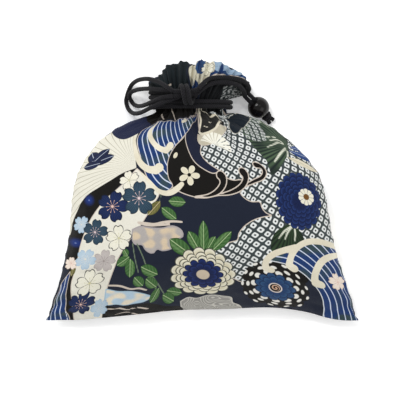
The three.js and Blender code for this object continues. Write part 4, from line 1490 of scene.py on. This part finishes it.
def printed_cotton():
    """The whole print, from its ground up to its flowers, on fine matt cotton."""
    paint = Paint("printed_cotton", INK)
    s, t, side, slit = paint.channels("cloth")
    shade = paint.field("shade")
    fan_and_ribbons(paint, shade)
    squares = kanoko_squares(paint, s, t)
    squares_and_pine(paint, shade, squares)
    neck_and_night(paint, shade)
    dark_dahlia(paint)
    patches = paint.field("patches").rise(-0.4, 0.6)
    wave_and_clouds(paint, shade, patches)
    mouth_lobes(paint, patches, squares)
    stems_and_flowers(paint)
    # Painted shade: the opening of the casing's slit, where the cords come out, is laid near black.
    paint.cover(slit.below(1.0, 0.2), 0x050506)
    thread = stitches(s, t)
    yarn = weave(s, t)
    slub = paint.noise(Value(paint, paint.node("CombineXYZ", s, t, side).outputs[0]), 1.7, 3.0)
    # The tone that multiplies the print: random slubs, the darker stitch thread, and painted shade and light
    # that follow the weave's over and under.
    tone = (slub.scaled(0.3, 0.81) + yarn * 0.06) * thread.scaled(-0.25, 1.0)
    tone = Value(paint, paint.node("CombineXYZ", tone, tone, tone).outputs[0])
    look = paint.node("VectorMath", paint.laid, tone, operation="MULTIPLY").outputs[0]
    return paint.finish(Value(paint, look), thread.scaled(2.5, yarn) + slub, 0.05, roughness=0.88,
                        specular=0.16, sheen=0.03)


def braided_cotton():
    """Soft black cord, with painted shade between the strands of its braid, where its surface is also deeper.
    """
    paint = Paint("black_braid")
    read = paint.node("Attribute", attribute_name="plait", attribute_type="GEOMETRY")
    plait = Value(paint, read.outputs["Fac"])
    place = paint.place()
    fuzz = paint.noise(place, 3200, 3.0)
    worn = paint.noise(place, 160)
    # Painted shade: darker where plait is low, in the braid's gaps. Fuzz and worn vary the tone at random.
    light = plait.rise(0.15, 0.95) * fuzz.scaled(0.9, 0.4) * worn.scaled(0.6, 0.55)
    return paint.finish(paint.blend(light, 0x070709, 0x28272B), fuzz.scaled(0.8, plait), 0.12,
                        roughness=fuzz.scaled(0.15, 0.8), specular=0.15, sheen=0.06)


def polished_black():
    """Black turned wood or resin under a clear gloss, very slightly uneven."""
    paint = Paint("polished_black")
    place = paint.place()
    cloudy = paint.noise(place, 140, 3.0)
    scuffs = paint.noise(place, 1100, 4.0)
    return paint.finish(paint.blend(cloudy, 0x060505, 0x14100F), cloudy, 0.03,
                        roughness=scuffs.scaled(0.12, 0.04), specular=0.18, coat=0.1)


black_braid = braided_cotton()
for piece in (*cords.values(), bow, stopper):
    piece.data.materials.append(black_braid)
ball.data.materials.append(polished_black())
bag.data.materials.append(printed_cotton())

# ---------------------------------------------------------------- what each piece rides on

PIECES = (  # the piece, its body, the CAD node it stands for and its finish
    *((piece, "pouch", node, "black_cord") for node, piece in cords.items()),
    (bow, "pouch", "bow_knot", "black_cord"),
    (stopper, "pouch", "end_knot", "black_cord"),
    (ball, "bead", "bead", "black_bead"),
    (bag, "pouch", "bag", "printed_cotton"),
)
for piece, body, node, finish in PIECES:
    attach(piece, body)
    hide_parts(node)


def declare_cord(name):
    line = smooth_line(ROUTES[name], TUBE_STEP)


declare_cord("cord_wrap_a")
declare_cord("cord_wrap_b")
declare_cord("cord_loop_outer")
declare_cord("cord_loop_inner")
declare_cord("cord_tail_a")
declare_cord("cord_tail_b")
